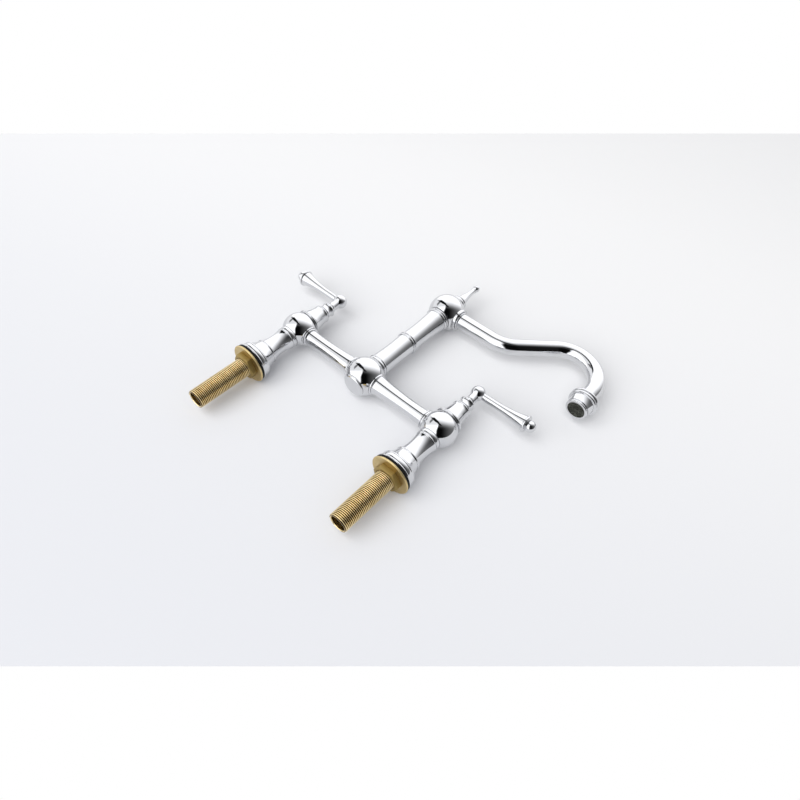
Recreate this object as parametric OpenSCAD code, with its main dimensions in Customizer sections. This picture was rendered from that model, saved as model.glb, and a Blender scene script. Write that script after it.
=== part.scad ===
/* [Layout] */
// Distance between the two tap holes
tap_spacing = 203; // [185:1:230]
// Reach of the spout from the middle of the bridge to the outlet
spout_reach = 188; // [175:1:210]
// Height of the outlet rim above the deck
outlet_h = 186.6; // [178:0.1:190]
// Height of the middle of the tube at the top of the spout's arch above the outlet rim
arch_rise = 69.2; // [63.2:0.1:80.2]
// How far the hot lever is turned open at rest, in degrees
hot_rest_angle = 0; // [0:0.1:20]
// How far the cold lever is turned open at rest, in degrees
cold_rest_angle = 0; // [0:0.1:20]

/* [Threaded shank] */
// Outside diameter of the thread
thread_d = 20.955; // [20:0.005:22]
// Pitch of the thread
thread_pitch = 1.814; // [1:0.001:2.2]
// Depth of the thread
thread_depth = 1.16; // [0.6:0.01:1.3]
// Length of the shank below the deck
shank_len = 69.5; // [60:0.1:90]
// Wall of the shank between the root of its thread and its water bore
shank_wall = 1; // [0.8:0.1:3]
// Length of the shank held inside the pillar
shank_grip = 12; // [10:0.5:18]
// Chamfer at the free end of the shank
shank_chamfer = 0.7; // [0.4:0.1:1.6]

/* [Deck fixing] */
// Width of the backnut across its flats
nut_across_flats = 27; // [26:0.5:32]
// Height of the backnut
nut_h = 6.2; // [5:0.1:9]
// Chamfer on the corners of the backnut
nut_chamfer = 1.4; // [0.6:0.1:2]
// Diameter of the clamp washer
clamp_washer_d = 44.2; // [38:0.2:48]
// Thickness of the clamp washer
clamp_washer_t = 2; // [1.6:0.1:4]
// Chamfer on the edges of the clamp washer
clamp_washer_chamfer = 0.6; // [0.3:0.1:0.7]
// Diameter of the deck gasket
gasket_d = 43; // [38:0.2:44]
// Thickness of the deck gasket
gasket_t = 2.7; // [1.5:0.1:3.5]

/* [Pillar] */
// Height of the pillar from the gasket to its collar
pillar_h = 46.9; // [42:0.1:52]
// Diameter of the pillar's rim
rim_d = 42.6; // [40:0.2:48]
// Height of the pillar's rim
rim_h = 2; // [1.5:0.1:3]
// Diameter of the step above the rim
step_d = 40.4; // [38:0.2:42]
// Height of the step above the rim
step_h = 4.3; // [2:0.1:6]
// Diameter at the foot of the bell
bell_d = 36.4; // [34:0.2:37.6]
// Height of the bell's lower sweep
bell_h = 11.4; // [9:0.2:13]
// Diameter at the top of the bell's lower sweep
waist_bead_d = 28; // [26:0.2:30]
// Height of the bead above the bell
waist_bead_h = 1.8; // [1.2:0.1:2.6]
// Hollow of the bell's lower sweep
bell_hollow = 0.4; // [0.1:0.1:0.8]
// Hollow of the pillar's neck
neck_hollow = 1.8; // [1:0.1:2.4]
// Diameter at the top of the pillar's neck
neck_top_d = 24.6; // [23:0.1:25]
// Diameter of the collar between pillar and valve body
neck_collar_d = 25.2; // [24.8:0.1:28]
// Height of the collar between pillar and valve body
neck_collar_h = 7.5; // [6:0.1:9]

/* [Joining spigots] */
// Diameter of the screwed spigots of pillar, bridge and riser
spigot_d = 18; // [17:0.1:18.6]
// Water bore through the screwed spigots
water_bore_d = 13; // [11:0.1:14]
// Length of spigot inside a ball
spigot_depth = 3.8; // [3:0.1:5]
// Diameter of the bridge arm's spigot in the valve body
arm_spigot_d = 16; // [15:0.1:16.6]
// Length of the bridge arm's spigot in the valve body
arm_spigot_depth = 4.8; // [3:0.1:5]

/* [Valve body] */
// Diameter of the valve ball
valve_ball_d = 38; // [37:0.2:42]
// Diameter of the flat on top of the valve ball
valve_top_d = 28.6; // [26:0.2:30]
// Diameter of the ring on top of the valve ball
valve_ring_d = 31.8; // [31:0.1:34]
// Height of the ring on top of the valve ball
valve_ring_h = 2.5; // [2:0.1:4]
// Bore for the cartridge
cartridge_bore_d = 19.2; // [18.8:0.1:20]
// Depth of the cartridge seat below the ring
cartridge_seat_depth = 22.5; // [21.5:0.1:24]
// Port from the valve to the bridge
valve_port_d = 11; // [8:0.1:12]

/* [Cartridge] */
// Thickness of the seat seal
seat_seal_t = 1.5; // [1:0.1:2]
// Wall of the cartridge barrel
cartridge_wall = 1.8; // [1.4:0.1:2]
// Thickness of each ceramic disc
disc_t = 3; // [2:0.1:3.5]
// Thickness of the spindle's driving plate
plate_t = 3; // [2:0.1:3.5]
// Height of the stop lug on the driving plate
lug_h = 2.5; // [1.5:0.1:3]
// Diameter of the spindle's barrel
spindle_barrel_d = 10; // [9.6:0.1:11]
// Diameter of the spindle's shaft
spindle_d = 8; // [7:0.1:8.4]
// Length of the spindle's shaft in the handle
spindle_grip = 6.7; // [5:0.1:7]
// Diameter of the cartridge's neck
cartridge_neck_d = 12; // [11:0.1:12.6]
// Width of the cartridge's hexagon across its flats
cartridge_hex = 16; // [15:0.1:17]
// Quarter turn between shut and open, in degrees
quarter_turn = 90; // [80:1:100]

/* [Bonnet] */
// Height of the bonnet
bonnet_h = 20.5; // [19:0.1:24]
// Diameter at the foot of the bonnet
bonnet_foot_d = 27; // [26.6:0.1:30]
// Least diameter of the bonnet
bonnet_waist_d = 20; // [19.4:0.1:21.6]
// Diameter of the bonnet's rim
bonnet_rim_d = 22; // [21:0.1:24]
// Wall of the bonnet
bonnet_wall = 1.5; // [1:0.1:1.8]

/* [Lever handle] */
// Gap between the bonnet and the handle
handle_gap = 0.3; // [0.2:0.05:0.8]
// Height of the hub ball's middle above the handle's foot
hub_h = 27.9; // [26.5:0.1:32]
// Diameter of the hub ball
hub_ball_d = 16.2; // [15.6:0.1:18]
// Diameter of the handle's foot
handle_foot_d = 17; // [15:0.1:18]
// Diameter of the ring at the top of the handle's neck
handle_ring_d = 17.6; // [16.4:0.1:20]
// Diameter of the stalk under the hub ball
stalk_d = 10.8; // [10.2:0.1:12]
// Rise of the lever above the level, in degrees
lever_rise = 1; // [0:0.1:6]
// Length of the lever from the hub's middle to the end ring
lever_len = 57.4; // [50:0.1:70]
// Diameter of the lever at the hub
lever_root_d = 8; // [7.6:0.1:8.8]
// Diameter of the lever at its end ring
lever_end_d = 17; // [15:0.1:18.4]
// Hollow of the lever's sweep
lever_hollow = 1.5; // [0.8:0.1:1.9]
// Diameter of the lever's end ring
lever_ring_d = 19.4; // [18.6:0.1:22]
// Thickness of the lever's end ring
lever_ring_t = 3.4; // [2.4:0.1:4.5]
// Diameter of the ball at the lever's tip
tip_ball_d = 12.8; // [11:0.1:14]
// Diameter of the grub screw
grub_d = 4; // [3:0.1:4.5]
// Length of the grub screw
grub_len = 3.4; // [3:0.1:4]

/* [Bridge] */
// Diameter of the centre ball
centre_ball_d = 42; // [41:0.2:46]
// Diameter of the rings between centre ball and arms
arm_ring_d = 25.6; // [24:0.1:27]
// Thickness of the rings between centre ball and arms
arm_ring_t = 2; // [1.4:0.1:3]
// Diameter of the step beside the inner ring
arm_step_d = 22.6; // [21:0.1:23.6]
// Diameter of the arm beside the step
arm_root_d = 21.6; // [20:0.1:22]
// Diameter of the arm at its outer end
arm_end_d = 17.8; // [17:0.1:18.6]
// Hollow of the arm's sweep
arm_hollow = 1.15; // [0.6:0.05:1.6]
// Water bore of the arm
arm_bore_d = 12; // [10:0.1:12.6]
// Diameter of the double ring at the valve ball
arm_end_ring_d = 22.4; // [21.4:0.1:24]
// Thickness of the double ring at the valve ball
arm_end_ring_t = 4; // [3:0.1:5]
// Diameter of the plug under the centre ball
plug_d = 26.4; // [24:0.1:28]
// Thickness of the plug under the centre ball
plug_t = 2.2; // [1.5:0.1:3]
// Dome of the plug under the centre ball
plug_dome = 0.7; // [0.3:0.1:1.2]

/* [Riser] */
// Diameter of the riser's foot ring
foot_ring_d = 27.2; // [26.6:0.1:30]
// Height of the riser's foot ring
foot_ring_h = 5.5; // [4:0.1:7]
// Length of the riser's lower tube
lower_riser_h = 43.5; // [38:0.5:60]
// Diameter at the foot of the lower tube
lower_riser_d = 25.2; // [24:0.1:26]
// Hollow of the lower tube
lower_riser_hollow = 0.75; // [0.2:0.05:1.2]
// Diameter of the riser at its middle ring
mid_riser_d = 24.2; // [23.6:0.1:25.4]
// Diameter of the middle ring
mid_ring_d = 26.4; // [26:0.1:29]
// Height of the middle ring
mid_ring_h = 5; // [4:0.1:7]
// Length of the riser's upper tube
upper_riser_h = 47; // [42:0.5:60]
// Diameter at the top of the upper tube
upper_riser_d = 26.4; // [25.6:0.1:27.4]
// Hollow of the upper tube
upper_riser_hollow = 0.95; // [0.2:0.05:1.2]
// Diameter of the riser's top ring
top_ring_d = 29; // [28.4:0.1:32]
// Height of the riser's top ring
top_ring_h = 5.1; // [4.4:0.1:7]

/* [Swivel] */
// Diameter of the swivel stem's barrel
stem_barrel_d = 18.9; // [18.4:0.05:19.4]
// Length of the swivel stem's barrel
stem_barrel_h = 18; // [14:0.5:24]
// Diameter of the swivel stem's neck
stem_neck_d = 18; // [17:0.1:18.3]
// Thickness of the thrust washer
thrust_washer_t = 1.4; // [1:0.1:2]
// How far the thrust washer stands above the top ring
thrust_washer_proud = 0.4; // [0.3:0.1:0.8]
// Width of the thrust washer across
thrust_washer_d = 24; // [22:0.1:25]
// Depth of the swivel stem in the top ball
stem_grip = 8; // [6:0.5:10]
// Thickness of the swivel's sealing rings
stem_seal_t = 1.2; // [1:0.1:1.5]

/* [Spout] */
// Diameter of the top ball
top_ball_d = 42; // [41:0.2:46]
// Diameter of the flat under the top ball
top_ball_foot_d = 30.4; // [29:0.1:32]
// Outside diameter of the spout tube
tube_d = 18.5; // [17:0.1:19]
// Wall of the spout tube
tube_wall = 1.5; // [1:0.1:2]
// Depth of the spout tube in the top ball
tube_grip = 6; // [4:0.5:8]
// Diameter of the spout's collar
spout_collar_d = 26; // [25:0.1:29]
// Thickness of the spout's collar
spout_collar_t = 4.1; // [3:0.1:6]
// Diameter of the lip beside the spout's collar
spout_lip_d = 22; // [21:0.1:24]
// Thickness of the lip beside the spout's collar
spout_lip_t = 1.6; // [1:0.1:3]
// Slope of the spout's rise, in degrees
rise_angle = 41; // [36:0.5:46]
// Radius of the bend at the foot of the rise
rise_r = 42; // [36:0.5:48]
// Radius of the spout's arch
arch_r = 38; // [36:0.5:42]
// Width of the bands over the tube's joints
band_w = 0.6; // [0.4:0.1:1]
// How far the bands over the tube's joints stand proud
band_proud = 0.05; // [0.04:0.01:0.1]

/* [Outlet] */
// Diameter of the outlet rim
outlet_rim_d = 24.4; // [23.4:0.1:27]
// Height of the outlet rim
outlet_rim_h = 2.4; // [1.6:0.1:3]
// Diameter of the groove above the rim
outlet_groove_d = 23; // [22.6:0.1:23.4]
// Height of the outlet housing
housing_h = 11.2; // [10:0.1:13]
// Diameter at the foot of the housing's sleeve
housing_foot_d = 24.8; // [24.4:0.1:27]
// Diameter at the top of the housing's sleeve
housing_top_d = 27.2; // [26:0.1:28]
// Diameter of the opening that shows the mesh
mesh_opening_d = 19.4; // [18:0.1:20]
// Inner diameter of the housing
housing_bore_d = 20.5; // [20.1:0.1:21]
// Thickness of the outlet mesh
mesh_t = 0.8; // [0.6:0.1:1.2]
// Depth of the mesh behind the rim
mesh_recess = 0.7; // [0.4:0.1:1.5]
// Diameter of the spout end's rings
end_ring_d = 31.8; // [30:0.1:34]
// Height of the spout's end piece
end_piece_h = 10.8; // [10.2:0.1:13]
// Height of the joint between housing and end piece
housing_spigot_h = 2.4; // [2:0.1:3]
// Thickness of the sealing washer above the housing
outlet_washer_t = 1; // [0.8:0.1:1.4]

/* [Finial] */
// Height of the finial
finial_h = 43.1; // [38:0.1:55]
// Diameter of the finial's foot
finial_foot_d = 20.4; // [18:0.1:22]
// Height of the finial's foot
finial_foot_h = 3.6; // [2.6:0.1:5]
// Diameter of the finial's second ring
finial_ring_d = 18.4; // [16.4:0.1:18.8]
// Height of the finial's second ring
finial_ring_h = 2.5; // [1.8:0.1:4]
// Diameter at the foot of the finial's cone
cone_foot_d = 15.4; // [14:0.1:16]
// Diameter at the top of the finial's cone
cone_top_d = 6; // [5:0.1:6.4]
// Hollow of the finial's cone
cone_hollow = 1.2; // [0.5:0.1:1.6]
// Diameter of the ball on the finial
finial_ball_d = 8.4; // [7:0.1:9]
// Diameter of the finial's screw
finial_screw_d = 10; // [8:0.1:11]
// Length of the finial's screw
finial_screw_len = 8; // [6:0.5:9]

/* [Clearances] */
// Radial clearance of a shaft that turns or a nut that runs on its thread
running = 0.05; // [0.02:0.01:0.1]
// Radial clearance of a screwed or glued seat
seat_fit = 0.05; // [0.02:0.01:0.1]
// Radial clearance of pieces that pass without touching
free = 0.3; // [0.2:0.05:0.5]
// Gap between flat faces that turn on each other
face_gap = 0.02; // [0.01:0.01:0.1]
// Width of the grooves between ornamental rings
groove_w = 0.7; // [0.4:0.1:1]
// Depth of the grooves between ornamental rings
groove_depth = 0.9; // [0.5:0.1:1.1]
// Rounding of the ornamental rings' edges
bead = 0.45; // [0.2:0.05:0.6]
// Depth of the seals' grooves
seal_t = 1; // [0.8:0.1:1.2]

/* [Hidden] */
left = -1;
right = 1;
round_steps = 96;
cut = 1;

// Height of a flat of radius r on a ball of radius ball_r, from the ball's middle
function flat_at(ball_r, r) = sqrt(ball_r * ball_r - r * r);

leg_x = tap_spacing / 2;
thread_r = thread_d / 2;
shank_bore_r = thread_r - thread_depth - shank_wall;
nut_bore_r = thread_r + running;
washer_z = -clamp_washer_t - face_gap;
nut_top = washer_z - face_gap;
nut_bottom = nut_top - nut_h;
spigot_r = spigot_d / 2;
socket_r = spigot_r + seat_fit;
water_r = water_bore_d / 2;

pillar_z = gasket_t;
pillar_top = pillar_z + pillar_h;
shank_top = pillar_z + shank_grip;
valve_ball_r = valve_ball_d / 2;
valve_foot_z = pillar_top + neck_collar_h;
bridge_z = valve_foot_z + flat_at(valve_ball_r, neck_collar_d / 2);
valve_top_z = bridge_z + flat_at(valve_ball_r, valve_top_d / 2);
ring_top_z = valve_top_z + valve_ring_h;
seat_z = ring_top_z - cartridge_seat_depth;
barrel_z = seat_z + seat_seal_t;
cartridge_r = cartridge_bore_d / 2 - 2 * seat_fit;
chamber_r = cartridge_r - cartridge_wall;
turning_disc_z = barrel_z + disc_t + face_gap;
plate_z = turning_disc_z + disc_t;
lug_z = plate_z + plate_t;
chamber_roof = 6;
chamber_top = ring_top_z - chamber_roof;
lug_angle = 16;
stop_gap_angle = 0.8;
key_angle = 30;
port_angle = 76;
port_inner_r = 2;
port_rim = 1.6;
flange_r = bonnet_foot_d / 2 - bonnet_wall - seat_fit;
flange_h = 2;
bonnet_top = ring_top_z + bonnet_h;
shoulder_drop = 14.5;
shoulder_z = bonnet_top - shoulder_drop;
neck_r = cartridge_neck_d / 2;
handle_z = bonnet_top + handle_gap;
spindle_top = handle_z + spindle_grip;
hub_z = handle_z + hub_h;
hub_ball_r = hub_ball_d / 2;
lever_start = flat_at(hub_ball_r, lever_root_d / 2);
lever_screw_r = lever_root_d / 2 - 1;
lever_screw_z = 1;
lever_screw_len = 5;
grub_z = 4.6;

centre_ball_r = centre_ball_d / 2;
arm_ring_x = flat_at(centre_ball_r, arm_ring_d / 2);
arm_x = arm_ring_x + arm_ring_t;
arm_end_face_x = leg_x - flat_at(valve_ball_r, arm_end_ring_d / 2);
arm_end_x = arm_end_face_x - arm_end_ring_t;
plug_z = bridge_z - flat_at(centre_ball_r, plug_d / 2);
riser_foot_z = bridge_z + flat_at(centre_ball_r, foot_ring_d / 2);
lower_riser_z = riser_foot_z + foot_ring_h;
mid_ring_z = lower_riser_z + lower_riser_h;
upper_riser_z = mid_ring_z + mid_ring_h;
top_ring_z = upper_riser_z + upper_riser_h;
top_ring_top = top_ring_z + top_ring_h;
washer_top = top_ring_top + thrust_washer_proud;
ball_foot_z = washer_top + face_gap;
stem_barrel_top = top_ring_z - free;
stem_barrel_z = stem_barrel_top - stem_barrel_h;
stem_seal_heights = [stem_barrel_z + 0.25 * stem_barrel_h, stem_barrel_z + 0.6 * stem_barrel_h];

top_ball_r = top_ball_d / 2;
top_ball_z = ball_foot_z + flat_at(top_ball_r, top_ball_foot_d / 2);
finial_z = top_ball_z + flat_at(top_ball_r, finial_foot_d / 2);
collar_x = flat_at(top_ball_r, spout_collar_d / 2);
tube_start = collar_x - tube_grip;
tube_r = tube_d / 2;
tube_bore_r = tube_r - tube_wall;

// Middle of the arch, foot of the rise and the sloping run between them
arch_x = spout_reach - arch_r;
arch_top = outlet_h + arch_rise;
arch_z = arch_top - arch_r;
slope_top_x = arch_x - arch_r * sin(rise_angle);
slope_top_z = arch_z + arch_r * cos(rise_angle);
slope_foot_z = top_ball_z + rise_r * (1 - cos(rise_angle));
slope_len = (slope_top_z - slope_foot_z) / sin(rise_angle);
slope_foot_x = slope_top_x - slope_len * cos(rise_angle);
rise_x = slope_foot_x - rise_r * sin(rise_angle);

end_piece_z = outlet_h + housing_h;
end_piece_top = end_piece_z + end_piece_h;
housing_spigot_top = end_piece_z + housing_spigot_h;
outlet_seat_z = housing_spigot_top + outlet_washer_t;
tube_end_gap = 1.6;
tube_end_z = outlet_seat_z + tube_end_gap;
housing_bore_r = housing_bore_d / 2;
housing_spigot_wall = 0.9;
housing_spigot_r = housing_bore_r + housing_spigot_wall;
insert_r = housing_bore_r - seat_fit;

// Round segment between the points p and q of an outline: side 1 hollows the edge, side -1 swells it
module bow(p, q, depth, side) {
    chord = norm(q - p);
    radius = (chord * chord / 4 + depth * depth) / (2 * depth);
    outward = [q[1] - p[1], p[0] - q[0]] / chord;
    middle = (p + q) / 2 + side * outward * (radius - depth);
    steps = max(round_steps, 4 * ceil(radius));
    inner = side > 0 ? 0 : min(p[0], q[0]) / 2;
    intersection() {
        translate(middle) circle(r = radius, $fn = steps);
        translate([inner, p[1]]) square([max(p[0], q[0]) + depth - inner, q[1] - p[1]]);
    }
}

// Solid of revolution from its edge points [radius, height], with hollows and swells [segment, depth]
module turned(edge, hollows = [], swells = []) {
    last = len(edge) - 1;
    outline = concat([[0, edge[0][1]]], edge, [[0, edge[last][1]]]);
    rotate_extrude($fn = round_steps) {
        difference() {
            polygon(outline);
            for (h = hollows) bow(edge[h[0]], edge[h[0] + 1], h[1], 1);
        }
        for (s = swells) bow(edge[s[0]], edge[s[0] + 1], s[1], -1);
    }
}

// Upright hole of radius r from z0 to z1
module hole(r, z0, z1) {
    translate([0, 0, z0]) cylinder(r = r, h = z1 - z0, $fn = round_steps);
}

// Ring with rounded edges
module beaded_ring(r, z0, z1) {
    turned([[r - bead, z0], [r - bead, z1]], swells = [[0, bead]]);
}

// Two rounded rings with a groove between them, the upper one of radius r2
module double_ring(r1, r2, h) {
    half = (h - groove_w) / 2;
    beaded_ring(r1, 0, half);
    hole(min(r1, r2) - groove_depth, half / 2, h - half / 2);
    beaded_ring(r2, h - half, h);
}

// Sealing ring of thickness t whose outside has radius r
module seal_ring(r, t) {
    rotate_extrude($fn = round_steps) translate([r - t / 2, 0]) circle(r = t / 2, $fn = 32);
}

// Room for a sealing ring of thickness t below a wall of radius r
module seal_groove(r, t) {
    rotate_extrude($fn = round_steps) translate([r - t, -t * 0.65]) square([t + cut, t * 1.3]);
}

// Places its children on the left or right tap's axis, mirrored about the middle
module at_tap(side) {
    mirror([side == left ? 1 : 0, 0, 0]) translate([leg_x, 0, 0]) children();
}

// Places the turning pieces of a tap at the lever's rest angle
module at_handle(side) {
    rest = side == left ? hot_rest_angle : cold_rest_angle;
    at_tap(side) rotate([0, 0, -rest]) children();
}

// Turns children that lie along +Z to lie along the lever
module along_lever() {
    translate([0, 0, hub_z]) rotate([0, 90 - lever_rise, 0]) children();
}

// Turns children that lie along +Z to lie along one half of the bridge
module along_bridge(side) {
    mirror([side == left ? 1 : 0, 0, 0]) translate([0, 0, bridge_z]) rotate([0, 90, 0]) children();
}

// Turns children that lie along +Z to lie along the foot of the spout
module along_spout() {
    translate([0, 0, top_ball_z]) rotate([0, 90, 0]) children();
}

// Brass shank with ring-shaped thread relief inside the backnut
module shank(side) {
    lowest_groove = nut_bottom - 1;
    highest_groove = -1.5;
    flank = 0.52;
    color("goldenrod") at_tap(side) difference() {
        union() {
            hole(thread_r, shank_chamfer - shank_len, shank_top);
            translate([0, 0, -shank_len])
                cylinder(r1 = thread_r - shank_chamfer, r2 = thread_r, h = shank_chamfer, $fn = round_steps);
        }
        hole(shank_bore_r, -shank_len - cut, shank_top + cut);
        for (z = [lowest_groove : thread_pitch : highest_groove])
            translate([0, 0, z]) rotate_extrude($fn = round_steps)
                polygon([
                    [thread_r - thread_depth, 0], [thread_r + cut, -flank * (thread_depth + cut)],
                    [thread_r + cut, flank * (thread_depth + cut)]
                ]);
    }
}

module backnut(side) {
    corner = nut_across_flats / sqrt(3);
    inset = 0.2;
    edge = nut_across_flats / 2 - inset;
    color("goldenrod") at_tap(side) translate([0, 0, nut_bottom]) difference() {
        intersection() {
            cylinder(r = corner, h = nut_h, $fn = 6);
            turned([[edge, 0], [corner, nut_chamfer], [corner, nut_h]]);
        }
        hole(nut_bore_r, -cut, nut_h + cut);
    }
}

module clamp_washer(side) {
    r = clamp_washer_d / 2;
    c = clamp_washer_chamfer;
    color("goldenrod") at_tap(side) translate([0, 0, washer_z]) difference() {
        turned([[r - c, 0], [r, c], [r, clamp_washer_t - c], [r - c, clamp_washer_t]]);
        hole(nut_bore_r, -cut, clamp_washer_t + cut);
    }
}

module gasket(side) {
    color("dimgray") at_tap(side) difference() {
        hole(gasket_d / 2, 0, gasket_t);
        hole(thread_r + free, -cut, gasket_t + cut);
    }
}

// Bell-shaped pillar with its rim, step, bead, hollow neck and top spigot
module pillar(side) {
    step_z = rim_h + groove_w / 2;
    bell_z = step_z + step_h;
    shoulder_h = 2.2;
    shoulder_lip = 0.8;
    bell_foot_z = bell_z + shoulder_h;
    bead_z = bell_foot_z + bell_h;
    neck_z = bead_z + waist_bead_h;
    edge = [
        [rim_d / 2 - bead, 0], [rim_d / 2 - bead, rim_h],
        [step_d / 2 - groove_depth / 2, rim_h], [step_d / 2 - groove_depth / 2, step_z],
        [step_d / 2 - bead, step_z], [step_d / 2 - bead, bell_z],
        [bell_d / 2 + shoulder_lip, bell_foot_z], [bell_d / 2, bell_foot_z],
        [waist_bead_d / 2 - bead, bead_z],
        [waist_bead_d / 2 - bead / 2, bead_z], [waist_bead_d / 2 - bead / 2, neck_z],
        [waist_bead_d / 2 - 2 * bead, neck_z], [neck_top_d / 2, pillar_h]
    ];
    color("gainsboro") at_tap(side) translate([0, 0, pillar_z]) difference() {
        union() {
            turned(
                edge, hollows = [[7, bell_hollow], [11, neck_hollow]],
                swells = [[0, bead], [4, bead], [5, bead], [9, bead]]
            );
            hole(spigot_r, pillar_h - cut, pillar_h + neck_collar_h + spigot_depth);
        }
        hole(thread_r + seat_fit, -cut, shank_grip);
        hole(water_r, 0, pillar_h + neck_collar_h + spigot_depth + cut);
    }
}

module neck_collar(side) {
    lower_share = 0.28;
    lower = lower_share * neck_collar_h;
    color("gainsboro") at_tap(side) translate([0, 0, pillar_top]) difference() {
        union() {
            beaded_ring(neck_collar_d / 2, 0, lower);
            hole(neck_collar_d / 2 - groove_depth, lower / 2, neck_collar_h - lower);
            beaded_ring(neck_collar_d / 2, lower + groove_w, neck_collar_h);
        }
        hole(socket_r, -cut, neck_collar_h + cut);
    }
}

module valve_ball(side) {
    bridge_flat = leg_x - arm_end_face_x;
    foot_flat = bridge_z - valve_foot_z;
    top_flat = valve_top_z - bridge_z;
    color("gainsboro") at_tap(side) difference() {
        intersection() {
            translate([0, 0, bridge_z]) sphere(r = valve_ball_r, $fn = round_steps);
            translate([-bridge_flat, -valve_ball_r, bridge_z - foot_flat])
                cube([bridge_flat + valve_ball_r, 2 * valve_ball_r, foot_flat + top_flat]);
        }
        hole(socket_r, valve_foot_z - cut, valve_foot_z + spigot_depth + free);
        hole(water_r, valve_foot_z, seat_z + cut);
        hole(cartridge_bore_d / 2, seat_z, valve_top_z + cut);
        translate([-bridge_flat - cut, 0, bridge_z]) rotate([0, 90, 0])
            cylinder(r = arm_spigot_d / 2 + seat_fit, h = arm_spigot_depth + free + cut, $fn = round_steps);
        translate([-bridge_flat, 0, bridge_z]) rotate([0, 90, 0])
            cylinder(r = valve_port_d / 2, h = bridge_flat, $fn = round_steps);
    }
}

module valve_ring(side) {
    r = valve_ring_d / 2;
    foot = valve_ring_h / 4;
    color("gainsboro") at_tap(side) translate([0, 0, valve_top_z]) difference() {
        turned(
            [[r - groove_depth, 0], [r - groove_depth, foot], [r - bead, foot], [r - bead, valve_ring_h]],
            swells = [[2, bead]]
        );
        hole(cartridge_bore_d / 2, -cut, valve_ring_h + cut);
    }
}

module cartridge_seat_seal(side) {
    color("dimgray") at_tap(side) difference() {
        hole(cartridge_r, seat_z, barrel_z);
        hole(valve_port_d / 2, seat_z - cut, barrel_z + cut);
    }
}

// Sector of a ring from angle a0 to angle a1
module sector(r0, r1, z0, z1, a0, a1) {
    rotate([0, 0, a0]) rotate_extrude(angle = a1 - a0, $fn = round_steps)
        translate([r0, z0]) square([r1 - r0, z1 - z0]);
}

// Cartridge body with its barrel, side windows, stop keys, flange, hexagon and threaded neck
module cartridge(side) {
    gallery_z = barrel_z + 2.5;
    window_w = 5;
    key_inner_r = chamber_r - 2.2;
    key_outer_r = chamber_r + 0.4;
    key_edge = lug_angle / 2 + stop_gap_angle;
    color("goldenrod") at_tap(side) difference() {
        union() {
            difference() {
                hole(cartridge_r, barrel_z, ring_top_z + cut);
                difference() {
                    hole(cartridge_r + cut, gallery_z, chamber_top);
                    hole(chamber_r + cartridge_wall / 2, gallery_z - cut, chamber_top + cut);
                }
                hole(chamber_r, barrel_z - cut, chamber_top);
            }
            for (start = [90 - key_edge - key_angle, 90 + quarter_turn + key_edge])
                sector(key_inner_r, key_outer_r, lug_z + free, chamber_top + cut, start, start + key_angle);
            hole(flange_r, ring_top_z, ring_top_z + flange_h);
            translate([0, 0, ring_top_z])
                cylinder(r = cartridge_hex / sqrt(3), h = shoulder_z - ring_top_z, $fn = 6);
            hole(neck_r, shoulder_z - cut, bonnet_top - free);
        }
        hole(spindle_barrel_d / 2 + running, chamber_top - cut, shoulder_z);
        hole(spindle_d / 2 + free, shoulder_z - cut, bonnet_top);
        for (turn = [0, 180])
            rotate([0, 0, turn]) translate([chamber_r - cut, -window_w / 2, lug_z + free])
                cube([cartridge_wall + 2 * cut, window_w, chamber_top - lug_z - 2 * free]);
    }
}

// Two sector ports of a disc of radius r
module disc_ports(r, z0, z1) {
    for (turn = [0, 180])
        sector(port_inner_r, r - port_rim, z0, z1, turn - port_angle / 2, turn + port_angle / 2);
}

// Ceramic disc with two sector ports, from height z
module ceramic_disc(r, z) {
    difference() {
        hole(r, z, z + disc_t);
        disc_ports(r, z - cut, z + disc_t + cut);
    }
}

module fixed_disc(side) {
    color("ivory") at_tap(side) ceramic_disc(chamber_r - 2 * running, barrel_z);
}

module turning_disc(side) {
    color("white") at_handle(side) ceramic_disc(chamber_r - free, turning_disc_z);
}

// Spindle with its driving plate, stop lug, sealed barrel and shaft
module spindle(side) {
    barrel_top = shoulder_z - free;
    lug_root = 0.5;
    drive_depth = 1;
    color("goldenrod") at_handle(side) difference() {
        union() {
            hole(chamber_r - free, plate_z, lug_z);
            hole(spindle_barrel_d / 2, lug_z - cut, barrel_top);
            sector(spindle_barrel_d / 2 - lug_root, chamber_r - free, lug_z - cut, lug_z + lug_h,
                   180 - lug_angle / 2, 180 + lug_angle / 2);
            hole(spindle_d / 2, barrel_top - cut, spindle_top);
        }
        translate([0, 0, ring_top_z]) seal_groove(spindle_barrel_d / 2, seal_t);
        disc_ports(chamber_r - free, plate_z - cut, plate_z + drive_depth);
    }
}

module spindle_seal(side) {
    color("dimgray") at_handle(side) translate([0, 0, ring_top_z]) seal_ring(spindle_barrel_d / 2, seal_t);
}

module bonnet(side) {
    foot_r = bonnet_foot_d / 2;
    waist_r = bonnet_waist_d / 2;
    foot_h = 1.5;
    rim_h = 2;
    flare_h = 1.6;
    sweep = 0.45;
    neck_lap = 2;
    rim_z = bonnet_h - rim_h;
    waist_z = rim_z - flare_h;
    edge = [[foot_r, 0], [foot_r, foot_h], [waist_r, waist_z], [bonnet_rim_d / 2 - bead, rim_z],
            [bonnet_rim_d / 2 - bead, bonnet_h]];
    color("gainsboro") at_tap(side) translate([0, 0, ring_top_z]) difference() {
        turned(edge, hollows = [[1, sweep]], swells = [[3, bead]]);
        hole(flange_r + seat_fit, -cut, flange_h + free);
        translate([0, 0, flange_h]) cylinder(
            r1 = foot_r - bonnet_wall - 2 * free, r2 = waist_r - bonnet_wall - free,
            h = waist_z - flange_h - neck_lap / 2, $fn = round_steps
        );
        hole(neck_r + seat_fit, waist_z - neck_lap, bonnet_h + cut);
    }
}

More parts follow.
